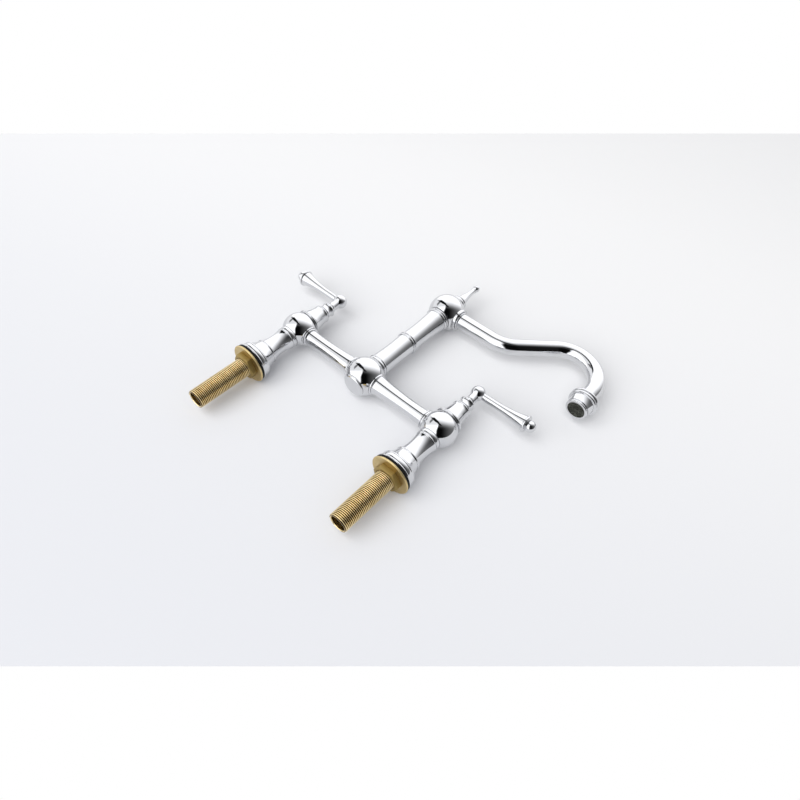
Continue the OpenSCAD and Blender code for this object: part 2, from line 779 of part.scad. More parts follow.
// Handle neck with its foot, hollow, ring and stalk under the hub ball
module hub(side) {
    foot_groove_h = 1.4;
    foot_rim_z = foot_groove_h + 0.2;
    foot_rim_top = foot_rim_z + 0.6;
    ring_z = 8.2;
    ring_h = 1.8;
    ring_top = ring_z + ring_h;
    ledge = 0.8;
    stalk_z = ring_top + 2.9;
    stalk_flare_h = 1.6;
    sweep = 0.8;
    foot_r = handle_foot_d / 2;
    ring_r = handle_ring_d / 2;
    stalk_r = stalk_d / 2;
    stalk_top_r = stalk_r - 0.3;
    stalk_top = hub_h - flat_at(hub_ball_r, stalk_top_r) + 0.5;
    edge = [
        [foot_r - groove_depth, 0], [foot_r - groove_depth, foot_groove_h], [foot_r, foot_rim_z],
        [foot_r, foot_rim_top], [ring_r - bead, ring_z], [ring_r - bead, ring_top],
        [stalk_r + 1, ring_top + ledge], [stalk_r + 0.5, stalk_z - ledge], [stalk_r + 0.9, stalk_z],
        [stalk_r, stalk_z + stalk_flare_h], [stalk_top_r, stalk_top]
    ];
    color("gainsboro") at_handle(side) difference() {
        union() {
            translate([0, 0, handle_z]) turned(edge, hollows = [[3, sweep]], swells = [[4, bead]]);
            intersection() {
                translate([0, 0, hub_z]) sphere(r = hub_ball_r, $fn = round_steps);
                along_lever() translate([-hub_ball_r, -hub_ball_r, -hub_ball_r])
                    cube([2 * hub_ball_r, 2 * hub_ball_r, hub_ball_r + lever_start]);
            }
        }
        hole(spindle_d / 2 + seat_fit, handle_z - cut, spindle_top + free);
        along_lever() hole(lever_screw_r + seat_fit, lever_screw_z, lever_start + cut);
        translate([0, 0, handle_z + grub_z]) rotate([-90, 0, 0])
            cylinder(r = grub_d / 2 + seat_fit, h = foot_r + cut, $fn = round_steps);
    }
}

// Grub screw with a hexagonal socket, on the rear of the hub
module grub_screw(side) {
    start = spindle_d / 2 + seat_fit;
    hex_depth = 1.6;
    hex_r = 0.29 * grub_d;
    color("silver") at_handle(side) translate([0, start, handle_z + grub_z]) rotate([-90, 0, 0]) difference() {
        hole(grub_d / 2, 0, grub_len);
        translate([0, 0, grub_len - hex_depth]) cylinder(r = hex_r, h = hex_depth + cut, $fn = 6);
    }
}

module lever(side) {
    root_len = 8;
    root_taper = 0.15;
    edge = [[lever_root_d / 2, lever_start], [lever_root_d / 2 + root_taper, lever_start + root_len],
            [lever_end_d / 2, lever_len]];
    color("gainsboro") at_handle(side) along_lever() difference() {
        union() {
            turned(edge, hollows = [[1, lever_hollow]]);
            hole(lever_screw_r, lever_screw_z + free, lever_start + cut);
        }
        hole(lever_screw_r + seat_fit, lever_len - lever_screw_len, lever_len + cut);
    }
}

// End ring and ball of the lever, with the screw that holds them
module lever_tip(side) {
    r = lever_ring_d / 2;
    neck_r = tip_ball_d / 2 - 1;
    ball_s = lever_ring_t + flat_at(tip_ball_d / 2, neck_r) - 0.4;
    foot_r = lever_end_d / 2 - 0.6;
    foot_z = 0.5;
    rim_z = foot_z + 0.2;
    rim_top = lever_ring_t - 0.5;
    crown_r = r - 1.4;
    edge = [
        [foot_r, 0], [foot_r, foot_z], [r - bead, rim_z], [r - bead, rim_top],
        [crown_r, rim_top + 0.3], [neck_r, rim_top - 0.1], [neck_r, lever_ring_t]
    ];
    color("gainsboro") at_handle(side) along_lever() translate([0, 0, lever_len]) union() {
        turned(edge, swells = [[2, bead]]);
        translate([0, 0, ball_s]) sphere(r = tip_ball_d / 2, $fn = round_steps);
        hole(lever_screw_r, free - lever_screw_len, cut);
    }
}

// Bridge arm with its sweep and the spigots at both ends
module arm(side) {
    length = arm_end_x - arm_x;
    step_bead = 0.4;
    step_w = 0.8;
    root_z = 1;
    sweep_z = 3;
    sweep_r = arm_root_d / 2 - 0.3;
    edge = [
        [arm_step_d / 2 - step_bead, 0], [arm_step_d / 2 - step_bead, step_w], [arm_root_d / 2, root_z],
        [sweep_r, sweep_z], [arm_end_d / 2, length]
    ];
    color("gainsboro") along_bridge(side) difference() {
        union() {
            translate([0, 0, arm_x]) turned(edge, hollows = [[3, arm_hollow]], swells = [[0, step_bead]]);
            hole(spigot_r, arm_ring_x - spigot_depth, arm_x + cut);
            hole(arm_spigot_d / 2, arm_end_x - cut, arm_end_face_x + arm_spigot_depth);
        }
        hole(arm_bore_d / 2, arm_ring_x - spigot_depth - cut, arm_end_face_x + arm_spigot_depth + cut);
        translate([0, 0, arm_ring_x - spigot_depth / 2]) seal_groove(spigot_r, seal_t);
    }
}

module arm_seal(side) {
    color("dimgray") along_bridge(side) translate([0, 0, arm_ring_x - spigot_depth / 2])
        seal_ring(spigot_r, seal_t);
}

module arm_ring(side) {
    color("gainsboro") along_bridge(side) translate([0, 0, arm_ring_x]) difference() {
        beaded_ring(arm_ring_d / 2, 0, arm_ring_t);
        hole(socket_r, -cut, arm_ring_t + cut);
    }
}

module arm_end_ring(side) {
    color("gainsboro") along_bridge(side) translate([0, 0, arm_end_x]) difference() {
        double_ring(arm_end_ring_d / 2 - 0.5, arm_end_ring_d / 2, arm_end_ring_t);
        hole(arm_spigot_d / 2 + seat_fit, -cut, arm_end_ring_t + cut);
    }
}

module centre_ball() {
    plug_flat = bridge_z - plug_z;
    riser_flat = riser_foot_z - bridge_z;
    depth = spigot_depth + free;
    color("gainsboro") difference() {
        intersection() {
            translate([0, 0, bridge_z]) sphere(r = centre_ball_r, $fn = round_steps);
            translate([-arm_ring_x, -centre_ball_r, plug_z])
                cube([2 * arm_ring_x, 2 * centre_ball_r, plug_flat + riser_flat]);
        }
        hole(water_r, plug_z - cut, riser_foot_z + cut);
        hole(socket_r, plug_z - cut, plug_z + depth);
        hole(socket_r, riser_foot_z - depth, riser_foot_z + cut);
        for (side = [left, right]) along_bridge(side) {
            hole(water_r, 0, arm_ring_x);
            hole(socket_r, arm_ring_x - depth, arm_ring_x + cut);
        }
    }
}

module centre_plug() {
    r = plug_d / 2;
    face_r = r - 2.4;
    dome_r = r - 1;
    dome_swell = 0.08;
    rim_z = 0.3;
    color("gainsboro") union() {
        translate([0, 0, plug_z - plug_t]) turned(
            [[face_r, -plug_dome], [dome_r, 0], [r - bead, rim_z], [r - bead, plug_t]],
            swells = [[0, dome_swell], [2, bead]]
        );
        hole(spigot_r, plug_z - cut, plug_z + spigot_depth);
    }
}

module riser_foot_ring() {
    lower_share = 0.56;
    half = lower_share * foot_ring_h;
    upper_step = 0.2;
    color("gainsboro") translate([0, 0, riser_foot_z]) difference() {
        union() {
            beaded_ring(foot_ring_d / 2, 0, half);
            hole(foot_ring_d / 2 - groove_depth, half / 2, foot_ring_h - bead);
            beaded_ring(foot_ring_d / 2 - upper_step, half + groove_w, foot_ring_h);
        }
        hole(socket_r, -cut, foot_ring_h + cut);
    }
}

// Riser tube with a spigot below and a socket above
module lower_riser() {
    edge = [[lower_riser_d / 2, 0], [mid_riser_d / 2, lower_riser_h]];
    color("gainsboro") translate([0, 0, lower_riser_z]) difference() {
        union() {
            turned(edge, hollows = [[0, lower_riser_hollow]]);
            hole(spigot_r, -foot_ring_h - spigot_depth, cut);
        }
        hole(water_r, -foot_ring_h - spigot_depth - cut, lower_riser_h + cut);
        hole(socket_r, lower_riser_h - 2 * spigot_depth, lower_riser_h + cut);
    }
}

module riser_middle_ring() {
    color("gainsboro") translate([0, 0, mid_ring_z]) difference() {
        double_ring(mid_ring_d / 2, mid_ring_d / 2, mid_ring_h);
        hole(socket_r, -cut, mid_ring_h + cut);
    }
}

module upper_riser() {
    edge = [[mid_riser_d / 2, 0], [upper_riser_d / 2, upper_riser_h]];
    bore_room = 4;
    swivel_bore = stem_barrel_h + bore_room;
    color("gainsboro") translate([0, 0, upper_riser_z]) difference() {
        union() {
            turned(edge, hollows = [[0, upper_riser_hollow]]);
            hole(spigot_r, free - mid_ring_h - 2 * spigot_depth, cut);
        }
        hole(water_r, -mid_ring_h - 2 * spigot_depth, upper_riser_h + cut);
        hole(stem_barrel_d / 2 + running, upper_riser_h - swivel_bore, upper_riser_h + cut);
    }
}

module riser_top_ring() {
    washer_r = thrust_washer_d / 2 + seat_fit;
    color("gainsboro") translate([0, 0, top_ring_z]) difference() {
        double_ring(top_ring_d / 2, top_ring_d / 2, top_ring_h);
        hole(stem_neck_d / 2 + running, -cut, top_ring_h + cut);
        hole(washer_r, top_ring_h - thrust_washer_t + thrust_washer_proud, top_ring_h + cut);
    }
}

module thrust_washer() {
    color("white") difference() {
        hole(thrust_washer_d / 2, washer_top - thrust_washer_t, washer_top);
        hole(stem_neck_d / 2 + free, top_ring_z, washer_top + cut);
    }
}

module swivel_stem() {
    color("goldenrod") difference() {
        union() {
            hole(stem_barrel_d / 2, stem_barrel_z, stem_barrel_top);
            hole(stem_neck_d / 2, stem_barrel_top - cut, washer_top + stem_grip);
        }
        hole(water_r, stem_barrel_z - cut, washer_top + stem_grip + cut);
        for (z = stem_seal_heights) translate([0, 0, z]) seal_groove(stem_barrel_d / 2, stem_seal_t);
    }
}

module stem_seals() {
    color("dimgray") for (z = stem_seal_heights) translate([0, 0, z]) seal_ring(stem_barrel_d / 2, stem_seal_t);
}

module top_ball() {
    foot_flat = top_ball_z - ball_foot_z;
    color("gainsboro") difference() {
        intersection() {
            translate([0, 0, top_ball_z]) sphere(r = top_ball_r, $fn = round_steps);
            translate([-top_ball_r, -top_ball_r, ball_foot_z])
                cube([top_ball_r + collar_x, 2 * top_ball_r, foot_flat + finial_z - top_ball_z]);
        }
        hole(stem_neck_d / 2 + seat_fit, washer_top - cut, washer_top + stem_grip + free);
        hole(water_r, washer_top, top_ball_z);
        along_spout() {
            hole(water_r, 0, collar_x);
            hole(tube_r + seat_fit, tube_start - free, collar_x + cut);
        }
        hole(finial_screw_d / 2 + seat_fit, finial_z - finial_screw_len - free, finial_z + cut);
    }
}

// Finial: two rings, a hollow cone, a small collar and a ball
module finial() {
    foot_r = finial_foot_d / 2;
    ring_r = finial_ring_d / 2;
    ring_z = finial_foot_h + groove_w;
    ledge = 0.4;
    cone_z = ring_z + finial_ring_h + ledge;
    ball_r = finial_ball_d / 2;
    lip = 0.5;
    neck_r = cone_top_d / 2 - lip;
    collar_r = cone_top_d / 2 + lip;
    ball_z = finial_h - ball_r;
    neck_len = 2.2;
    collar_z = ball_z - flat_at(ball_r, neck_r) - neck_len;
    edge = [
        [foot_r - bead, 0], [foot_r - bead, finial_foot_h],
        [ring_r - groove_depth, finial_foot_h], [ring_r - groove_depth, ring_z],
        [ring_r - bead, ring_z], [ring_r - bead, cone_z - ledge],
        [cone_foot_d / 2, cone_z], [cone_top_d / 2, collar_z],
        [collar_r, collar_z + 0.3], [collar_r, collar_z + 1.2],
        [neck_r, collar_z + 1.6], [neck_r, ball_z]
    ];
    color("gainsboro") translate([0, 0, finial_z]) union() {
        turned(edge, hollows = [[6, cone_hollow]], swells = [[0, bead], [4, bead]]);
        translate([0, 0, ball_z]) sphere(r = ball_r, $fn = round_steps);
        hole(finial_screw_d / 2, -finial_screw_len, cut);
    }
}

module spout_collar() {
    r = spout_collar_d / 2;
    lip_r = spout_lip_d / 2;
    lip_z = spout_collar_t + spout_lip_t;
    groove_top = spout_collar_t + 0.5;
    color("gainsboro") along_spout() translate([0, 0, collar_x]) difference() {
        turned(
            [
                [r - bead, 0], [r - bead, spout_collar_t], [lip_r - groove_depth, spout_collar_t],
                [lip_r - groove_depth, groove_top], [lip_r - bead / 2, groove_top],
                [lip_r - bead / 2, lip_z]
            ],
            swells = [[0, bead], [4, bead / 2]]
        );
        hole(tube_r + seat_fit, -cut, lip_z + cut);
    }
}

// Thin band over a joint of the spout tube at the point [x, z], square to the slope in degrees
module tube_band(r, x, z, slope) {
    translate([x, 0, z]) rotate([0, 90 - slope, 0]) translate([0, 0, -band_w / 2])
        cylinder(r = r + band_proud, h = band_w, $fn = round_steps);
}

// Round bar of radius r along the spout's path, longer by extra at both ends
module spout_path(r, extra) {
    translate([tube_start - extra, 0, top_ball_z]) rotate([0, 90, 0])
        cylinder(r = r, h = rise_x - tube_start + extra, $fn = round_steps);
    translate([rise_x, 0, top_ball_z + rise_r]) rotate([90, 0, 0]) rotate([0, 0, -90])
        rotate_extrude(angle = rise_angle, $fn = round_steps)
            translate([rise_r, 0]) circle(r = r, $fn = round_steps);
    translate([slope_foot_x, 0, slope_foot_z]) rotate([0, 90 - rise_angle, 0])
        cylinder(r = r, h = slope_len, $fn = round_steps);
    translate([arch_x, 0, arch_z]) rotate([90, 0, 0])
        rotate_extrude(angle = 90 + rise_angle, $fn = round_steps)
            translate([arch_r, 0]) circle(r = r, $fn = round_steps);
    translate([spout_reach, 0, tube_end_z - extra])
        cylinder(r = r, h = arch_z - tube_end_z + extra, $fn = round_steps);
    tube_band(r, rise_x, top_ball_z, 0);
    tube_band(r, slope_foot_x, slope_foot_z, rise_angle);
    tube_band(r, slope_top_x, slope_top_z, rise_angle);
    tube_band(r, spout_reach, arch_z, 90);
}

module spout_tube() {
    color("gainsboro") difference() {
        spout_path(tube_r, 0);
        spout_path(tube_bore_r, cut);
    }
}

// End piece of the spout with its two large rings
module spout_end() {
    r = end_ring_d / 2;
    ring_h = 3;
    lower_z = 0.4;
    upper_z = lower_z + ring_h + groove_w;
    cap_z = upper_z + ring_h;
    rim_r = r - bead;
    cap_r = tube_r + 3.6;
    dome_r = tube_r + 2.9;
    dome_z = cap_z + 0.9;
    neck_r = tube_r + 0.9;
    dome_swell = 0.4;
    edge = [
        [housing_top_d / 2 + lower_z, 0], [rim_r, lower_z], [rim_r, lower_z + ring_h],
        [rim_r - groove_depth, lower_z + ring_h], [rim_r - groove_depth, upper_z], [rim_r, upper_z],
        [rim_r, cap_z], [cap_r, cap_z + 0.2], [cap_r, cap_z + 0.7], [dome_r, dome_z], [neck_r, end_piece_h]
    ];
    color("gainsboro") translate([spout_reach, 0, end_piece_z]) difference() {
        turned(edge, swells = [[1, bead], [5, bead], [9, dome_swell]]);
        hole(tube_r + seat_fit, tube_end_z - end_piece_z, end_piece_h + cut);
        hole(tube_bore_r, 0, end_piece_h);
        hole(housing_spigot_r + seat_fit, -cut, outlet_seat_z - end_piece_z);
    }
}

module outlet_housing() {
    sleeve_z = outlet_rim_h + groove_w;
    sleeve_hollow = 0.25;
    edge = [
        [outlet_rim_d / 2 - bead, 0], [outlet_rim_d / 2 - bead, outlet_rim_h],
        [outlet_groove_d / 2, outlet_rim_h], [outlet_groove_d / 2, sleeve_z],
        [housing_foot_d / 2, sleeve_z], [housing_top_d / 2, housing_h]
    ];
    color("gainsboro") translate([spout_reach, 0, outlet_h]) difference() {
        union() {
            turned(edge, hollows = [[4, sleeve_hollow]], swells = [[0, bead]]);
            hole(housing_spigot_r, housing_h - cut, housing_h + housing_spigot_h);
        }
        hole(mesh_opening_d / 2, -cut, mesh_recess + cut);
        hole(housing_bore_r, mesh_recess, housing_h + housing_spigot_h + cut);
    }
}

module outlet_mesh() {
    ring_pitch = 2;
    ring_w = 0.8;
    color("dimgray") translate([spout_reach, 0, outlet_h + mesh_recess]) difference() {
        hole(insert_r, 0, mesh_t);
        for (r = [ring_pitch : ring_pitch : mesh_opening_d / 2 - ring_w])
            rotate_extrude($fn = round_steps) translate([r, -cut]) square([ring_w, cut + mesh_t / 2]);
    }
}

module flow_insert() {
    z0 = mesh_recess + mesh_t;
    top = housing_h + housing_spigot_h;
    centre_hole_r = 1.6;
    side_hole_r = 1.3;
    side_hole_x = 6;
    color("white") translate([spout_reach, 0, outlet_h]) difference() {
        hole(insert_r, z0, top);
        for (turn = [0 : 45 : 315]) rotate([0, 0, turn]) translate([side_hole_x, 0, 0])
            hole(side_hole_r, z0 - cut, top + cut);
        hole(centre_hole_r, z0 - cut, top + cut);
    }
}

module outlet_washer() {
    color("dimgray") translate([spout_reach, 0, 0]) difference() {
        hole(housing_spigot_r, housing_spigot_top, outlet_seat_z);
        hole(tube_bore_r, housing_spigot_top - cut, outlet_seat_z + cut);
    }
}

shank(left);  // left_shank
shank(right);  // right_shank
backnut(left);  // left_backnut
backnut(right);  // right_backnut
clamp_washer(left);  // left_clamp_washer
clamp_washer(right);  // right_clamp_washer
gasket(left);  // left_gasket
gasket(right);  // right_gasket
pillar(left);  // left_pillar
pillar(right);  // right_pillar
neck_collar(left);  // left_neck_collar
neck_collar(right);  // right_neck_collar
valve_ball(left);  // left_valve_ball
valve_ball(right);  // right_valve_ball
union() { valve_ring(left); valve_ring(right); }  // valve_rings
union() { cartridge_seat_seal(left); cartridge_seat_seal(right); }  // cartridge_seat_seals
cartridge(left);  // left_cartridge
cartridge(right);  // right_cartridge
union() { fixed_disc(left); fixed_disc(right); }  // fixed_discs
turning_disc(left);  // left_turning_disc
turning_disc(right);  // right_turning_disc
spindle(left);  // left_spindle
spindle(right);  // right_spindle
spindle_seal(left);  // left_spindle_seal
spindle_seal(right);  // right_spindle_seal
bonnet(left);  // left_bonnet
bonnet(right);  // right_bonnet
hub(left);  // left_hub
hub(right);  // right_hub
grub_screw(left);  // left_grub_screw
grub_screw(right);  // right_grub_screw
lever(left);  // left_lever
lever(right);  // right_lever
lever_tip(left);  // left_lever_tip
lever_tip(right);  // right_lever_tip
arm(left);  // left_arm
arm(right);  // right_arm
union() { arm_ring(left); arm_ring(right); }  // arm_rings
union() { arm_end_ring(left); arm_end_ring(right); }  // arm_end_rings
union() { arm_seal(left); arm_seal(right); }  // arm_seals
centre_ball();
centre_plug();
riser_foot_ring();
lower_riser();
riser_middle_ring();
upper_riser();
riser_top_ring();
thrust_washer();
swivel_stem();
stem_seals();
top_ball();
finial();
spout_collar();
spout_tube();
spout_end();
outlet_housing();
outlet_mesh();
flow_insert();
outlet_washer();
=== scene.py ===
"""Looks of a two-handle bridge basin mixer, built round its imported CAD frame."""

from __future__ import annotations

import logging
import math
from collections.abc import Callable, Sequence
from dataclasses import dataclass, field
from enum import Enum
from operator import mul
from typing import ClassVar

import bmesh
import bpy
from mathutils import Matrix, Vector


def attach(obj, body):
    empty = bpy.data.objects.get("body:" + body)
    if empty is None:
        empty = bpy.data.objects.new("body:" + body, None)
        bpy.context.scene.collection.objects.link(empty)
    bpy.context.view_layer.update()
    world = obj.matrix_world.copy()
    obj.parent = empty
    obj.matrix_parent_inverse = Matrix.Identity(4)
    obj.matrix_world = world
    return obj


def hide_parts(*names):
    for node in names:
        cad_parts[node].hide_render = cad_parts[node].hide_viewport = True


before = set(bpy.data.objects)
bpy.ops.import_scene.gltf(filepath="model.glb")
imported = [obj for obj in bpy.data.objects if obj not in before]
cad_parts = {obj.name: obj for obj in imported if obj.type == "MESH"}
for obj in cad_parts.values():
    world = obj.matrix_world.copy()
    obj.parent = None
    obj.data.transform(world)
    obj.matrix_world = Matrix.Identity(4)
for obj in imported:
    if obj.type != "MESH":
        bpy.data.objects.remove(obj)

MM = 0.001
AROUND = 96
FINE_AROUND = 128
SHARP_DEG = 35.0
BEAD = 0.45
TINY = 1e-9
WHITE = (1.0, 1.0, 1.0, 1.0)
LOG = logging.getLogger("mixer")
Point = tuple[float, float]
Triple = tuple[float, float, float]
Socket = bpy.types.NodeSocket

# A ramp is the low and high end of a value and, where they aren't 0 and 1, what it gives there.
Ramp = tuple[float, ...]


class Side(Enum):
    """The hot tap stands at -X and the cold tap at +X."""

    HOT = -1
    COLD = 1

    @property
    def label(self) -> str:
        """Word that the names of this side's pieces start with."""
        return self.name.lower()

    @property
    def node(self) -> str:
        """Word that the names of this side's CAD nodes start with."""
        return "left" if self is Side.HOT else "right"


class Slot(Enum):
    """Material slots of the record."""

    CHROME = "chrome"
    BRASS = "brass"
    RUBBER = "black_rubber"
    CERAMIC = "ceramic"
    PLASTIC = "white_plastic"
    STEEL = "steel"


# Outlines and meshes


def between(p: Point, q: Point, share: float) -> Point:
    """Point on the line from p to q."""
    return (p[0] + (q[0] - p[0]) * share, p[1] + (q[1] - p[1]) * share)


def round_z(radius: float, angle: float, height: float) -> Vector:
    """Point in metres at a radius and height in millimetres and an angle round the Z axis."""
    return Vector((radius * math.cos(angle) * MM, radius * math.sin(angle) * MM, height * MM))


class Outline:
    """Edge of a turned piece as a polyline of (radius, height) points, in millimetres."""

    FEWEST_STEPS = 6
    MOST_STEPS = 40
    ARC_STEP = math.radians(3)
    ARC_LENGTH = 0.4
    DOME_STEP = math.radians(4.5)
    EASE_STEPS = 5
    EASE_REACH = 0.9
    SAME_PLACE = 1e-6
    LONG_STRETCH = 0.5
    SUPPORT = 0.04
    SMOOTH_TURN = math.radians(5.5)

    def __init__(self, radius: float, height: float) -> None:
        """Start the edge at one point."""
        self._points: list[Point] = [(radius, height)]
        self._corners: list[tuple[int, float]] = []

    def to(self, radius: float, height: float, swell: float = 0.0, ease: float = 0.0) -> "Outline":
        """Carry the edge on to a point.

        Args:
            radius: distance of the point from the axis.
            height: height of the point along the axis.
            swell: how far the stretch bows to its right-hand side, or to the left if negative.
            ease: size of the rounding at the point.

        Returns:
            The outline itself, for the next stretch.
        """
        if swell:
            self._points.extend(self._arc(self._points[-1], (radius, height), swell))
        self._points.append((radius, height))
        if ease:
            self._corners.append((len(self._points) - 1, ease))
        return self

    def bead(self, radius: float, height: float, ease: float = 0.12) -> "Outline":
        """Carry the edge on to a point in a bulge of the same depth as on every ring."""
        return self.to(radius, height, swell=BEAD, ease=ease)

    def dome(self, centre: float, ball: float, radius: float, height: float) -> "Outline":
        """Carry the edge along a ball round the axis.

        Args:
            centre: height of the ball's middle.
            ball: radius of the ball.
            radius: radius where the stretch ends.
            height: height where the stretch ends.

        Returns:
            The outline itself, for the next stretch.
        """
        first = math.atan2(self._points[-1][1] - centre, self._points[-1][0])
        last = math.atan2(height - centre, radius)
        steps = max(self.FEWEST_STEPS, math.ceil(abs(last - first) / self.DOME_STEP))
        for i in range(1, steps):
            a = first + (last - first) * i / steps
            self._points.append((ball * math.cos(a), centre + ball * math.sin(a)))
        self._points.append((radius, height))
        return self

    @classmethod
    def _arc(cls, p: Point, q: Point, depth: float) -> list[Point]:
        """Points between p and q on a circle's arc of that depth.

        Args:
            p: start of the arc.
            q: end of the arc.
            depth: height of the arc over its chord; its sign gives the side.

        Returns:
            The points, without p and q.
        """
        chord = math.dist(p, q)
        half = 2 * math.atan2(2 * abs(depth), chord)
        radius = chord / 2 / math.sin(half)
        ux, uz = (q[0] - p[0]) / chord, (q[1] - p[1]) / chord
        side = math.copysign(1.0, depth)
        wanted = min(cls.MOST_STEPS, math.ceil(half / cls.ARC_STEP) * 2, math.ceil(chord / cls.ARC_LENGTH))
        steps = max(cls.FEWEST_STEPS, wanted)
        points = []
        for i in range(1, steps):
            a = -half + 2 * half * i / steps
            along = chord / 2 + radius * math.sin(a)
            out = side * (radius * math.cos(a) - radius * math.cos(half))
            points.append((p[0] + ux * along + uz * out, p[1] + uz * along - ux * out))
        return points

    def points(self) -> list[Point]:
        """The polyline with its corners rounded and a support point where a long stretch meets a bend.

        Returns:
            The points in order.
        """
        points = list(self._points)
        for index, ease in reversed(self._corners):
            if 0 < index < len(points) - 1:
                points = self._eased(points, index, ease)
        points = [points[0]] + [q for p, q in zip(points, points[1:]) if math.dist(p, q) > self.SAME_PLACE]
        held = [points[0]]
        for i, (p, q) in enumerate(zip(points, points[1:])):
            length = math.dist(p, q)
            if length > self.LONG_STRETCH and self._bends(points, i):
                held.append(between(p, q, self.SUPPORT / length))
            if length > self.LONG_STRETCH and self._bends(points, i + 1):
                held.append(between(p, q, 1 - self.SUPPORT / length))
            held.append(q)
        return held

    @classmethod
    def _bends(cls, points: list[Point], index: int) -> bool:
        """Whether the polyline ends or turns at a point by more than a curve's steps do.

        Args:
            points: the polyline.
            index: number of the point.

        Returns:
            True at an end and at a corner, False along a curve.
        """
        if not 0 < index < len(points) - 1:
            return True
        (ax, az), (bx, bz), (cx, cz) = points[index - 1 : index + 2]
        turn = math.atan2(cz - bz, cx - bx) - math.atan2(bz - az, bx - ax)
        return abs(math.remainder(turn, math.tau)) > cls.SMOOTH_TURN

    @classmethod
    def _eased(cls, points: list[Point], index: int, ease: float) -> list[Point]:
        """The polyline with the corner at index replaced by a short curve.

        Args:
            points: the polyline.
            index: number of the corner's point.
            ease: size of the rounding.

        Returns:
            The new polyline.
        """

        def walk(step: int) -> tuple[int, Point]:
            """Index of the last point to go and the place where the curve meets the line.

            Args:
                step: 1 to go on along the polyline, -1 to go back.

            Returns:
                The point's index and the place.
            """
            left, i = ease, index
            while 0 < i + step < len(points) - 1 and math.dist(points[i], points[i + step]) < left:
                left -= math.dist(points[i], points[i + step])
                i += step
            p, q = points[i], points[i + step]
            return i, between(p, q, min(cls.EASE_REACH, left / max(math.dist(p, q), TINY)))

        (first, start), (last, end) = walk(-1), walk(1)
        curve = []
        for i in range(cls.EASE_STEPS + 1):
            t = i / cls.EASE_STEPS
            weights = ((1 - t) ** 2, 2 * t * (1 - t), t * t)
            curve.append(tuple(sum(map(mul, weights, row)) for row in zip(start, points[index], end)))
        return points[:first] + curve + points[last + 1 :]


@dataclass(frozen=True)
class Seat:
    """Where a turned piece stands: the foot of its axis and the way that the axis points, in millimetres."""

    foot: Triple
    axis: Triple = (0.0, 0.0, 1.0)

    def matrix(self) -> Matrix:
        """Placement of the piece in metres."""
        turn = Vector(self.axis).to_track_quat("Z", "Y").to_matrix().to_4x4()
        return Matrix.Translation(Vector(self.foot) * MM) @ turn

    def above(self, distance: float) -> "Seat":
        """The seat moved along its axis."""
        way = Vector(self.axis).normalized() * distance
        return Seat(tuple(Vector(self.foot) + way), self.axis)


@dataclass
class Shell:
    """Points in metres and faces of a mesh under construction."""

    SAME_POINT: ClassVar[float] = 2e-7
    NO_LENGTH: ClassVar[float] = 1e-7

    points: list[Vector] = field(default_factory=list)
    faces: list[tuple[int, ...]] = field(default_factory=list)

    def grid(self, rows: Sequence[Sequence[Vector]], wrap_rows: bool, wrap_columns: bool) -> None:
        """Add a sheet of quads.

        Args:
            rows: equally long rows of points.
            wrap_rows: join the last row to the first.
            wrap_columns: join the end of each row to its start.
        """
        base, width = len(self.points), len(rows[0])
        for row in rows:
            self.points.extend(row)
        for i in range(len(rows) - (0 if wrap_rows else 1)):
            for j in range(width - (0 if wrap_columns else 1)):
                a, b = base + i * width, base + (i + 1) % len(rows) * width
                k = (j + 1) % width
                self.faces.append((a + j, a + k, b + k, b + j))

    def turned(self, outline: Outline, seat: Seat, around: int = AROUND) -> "Shell":
        """Add a solid of revolution; an outline that ends off the axis is closed into a ring.

        Args:
            outline: edge of the piece.
            seat: place of the piece.
            around: number of steps in a turn.

        Returns:
            The shell itself.
        """
        points = outline.points()
        return self.revolved(lambda _: points, seat, around)

    def revolved(self, edge_at: Callable[[float], Sequence[Point]], seat: Seat, around: int) -> "Shell":
        """Add a solid whose edge may change from one direction to the next.

        Args:
            edge_at: gives the edge for an angle in radians, always with as many points.
            seat: place of the piece.
            around: number of steps in a turn.

        Returns:
            The shell itself.
        """
        place = seat.matrix()
        rows = []
        for i in range(around):
            angle = math.tau * i / around
            rows.append([place @ round_z(r, angle, z) for r, z in edge_at(angle)])
        ends = edge_at(0.0)
        solid = max(ends[0][0], ends[-1][0]) < TINY
        self.grid(rows, True, not solid)
        return self

    def object(self, name: str, sharp: float = SHARP_DEG) -> bpy.types.Object:
        """Make the mesh and its object.

        Args:
            name: name of the piece.
            sharp: angle in degrees from which an edge stays sharp.

        Returns:
            The new object, linked to the scene.
        """
        mesh = bpy.data.meshes.new(name)
        mesh.from_pydata(self.points, [], self.faces)
        work = bmesh.new()
        work.from_mesh(mesh)
        bmesh.ops.remove_doubles(work, verts=work.verts, dist=self.SAME_POINT)
        bmesh.ops.dissolve_degenerate(work, edges=work.edges, dist=self.NO_LENGTH)
        bmesh.ops.recalc_face_normals(work, faces=work.faces)
        for face in work.faces:
            face.smooth = True
        work.to_mesh(mesh)
        work.free()
        mesh.set_sharp_from_angle(angle=math.radians(sharp))
        made = bpy.data.objects.new(name, mesh)
        bpy.context.scene.collection.objects.link(made)
        return made


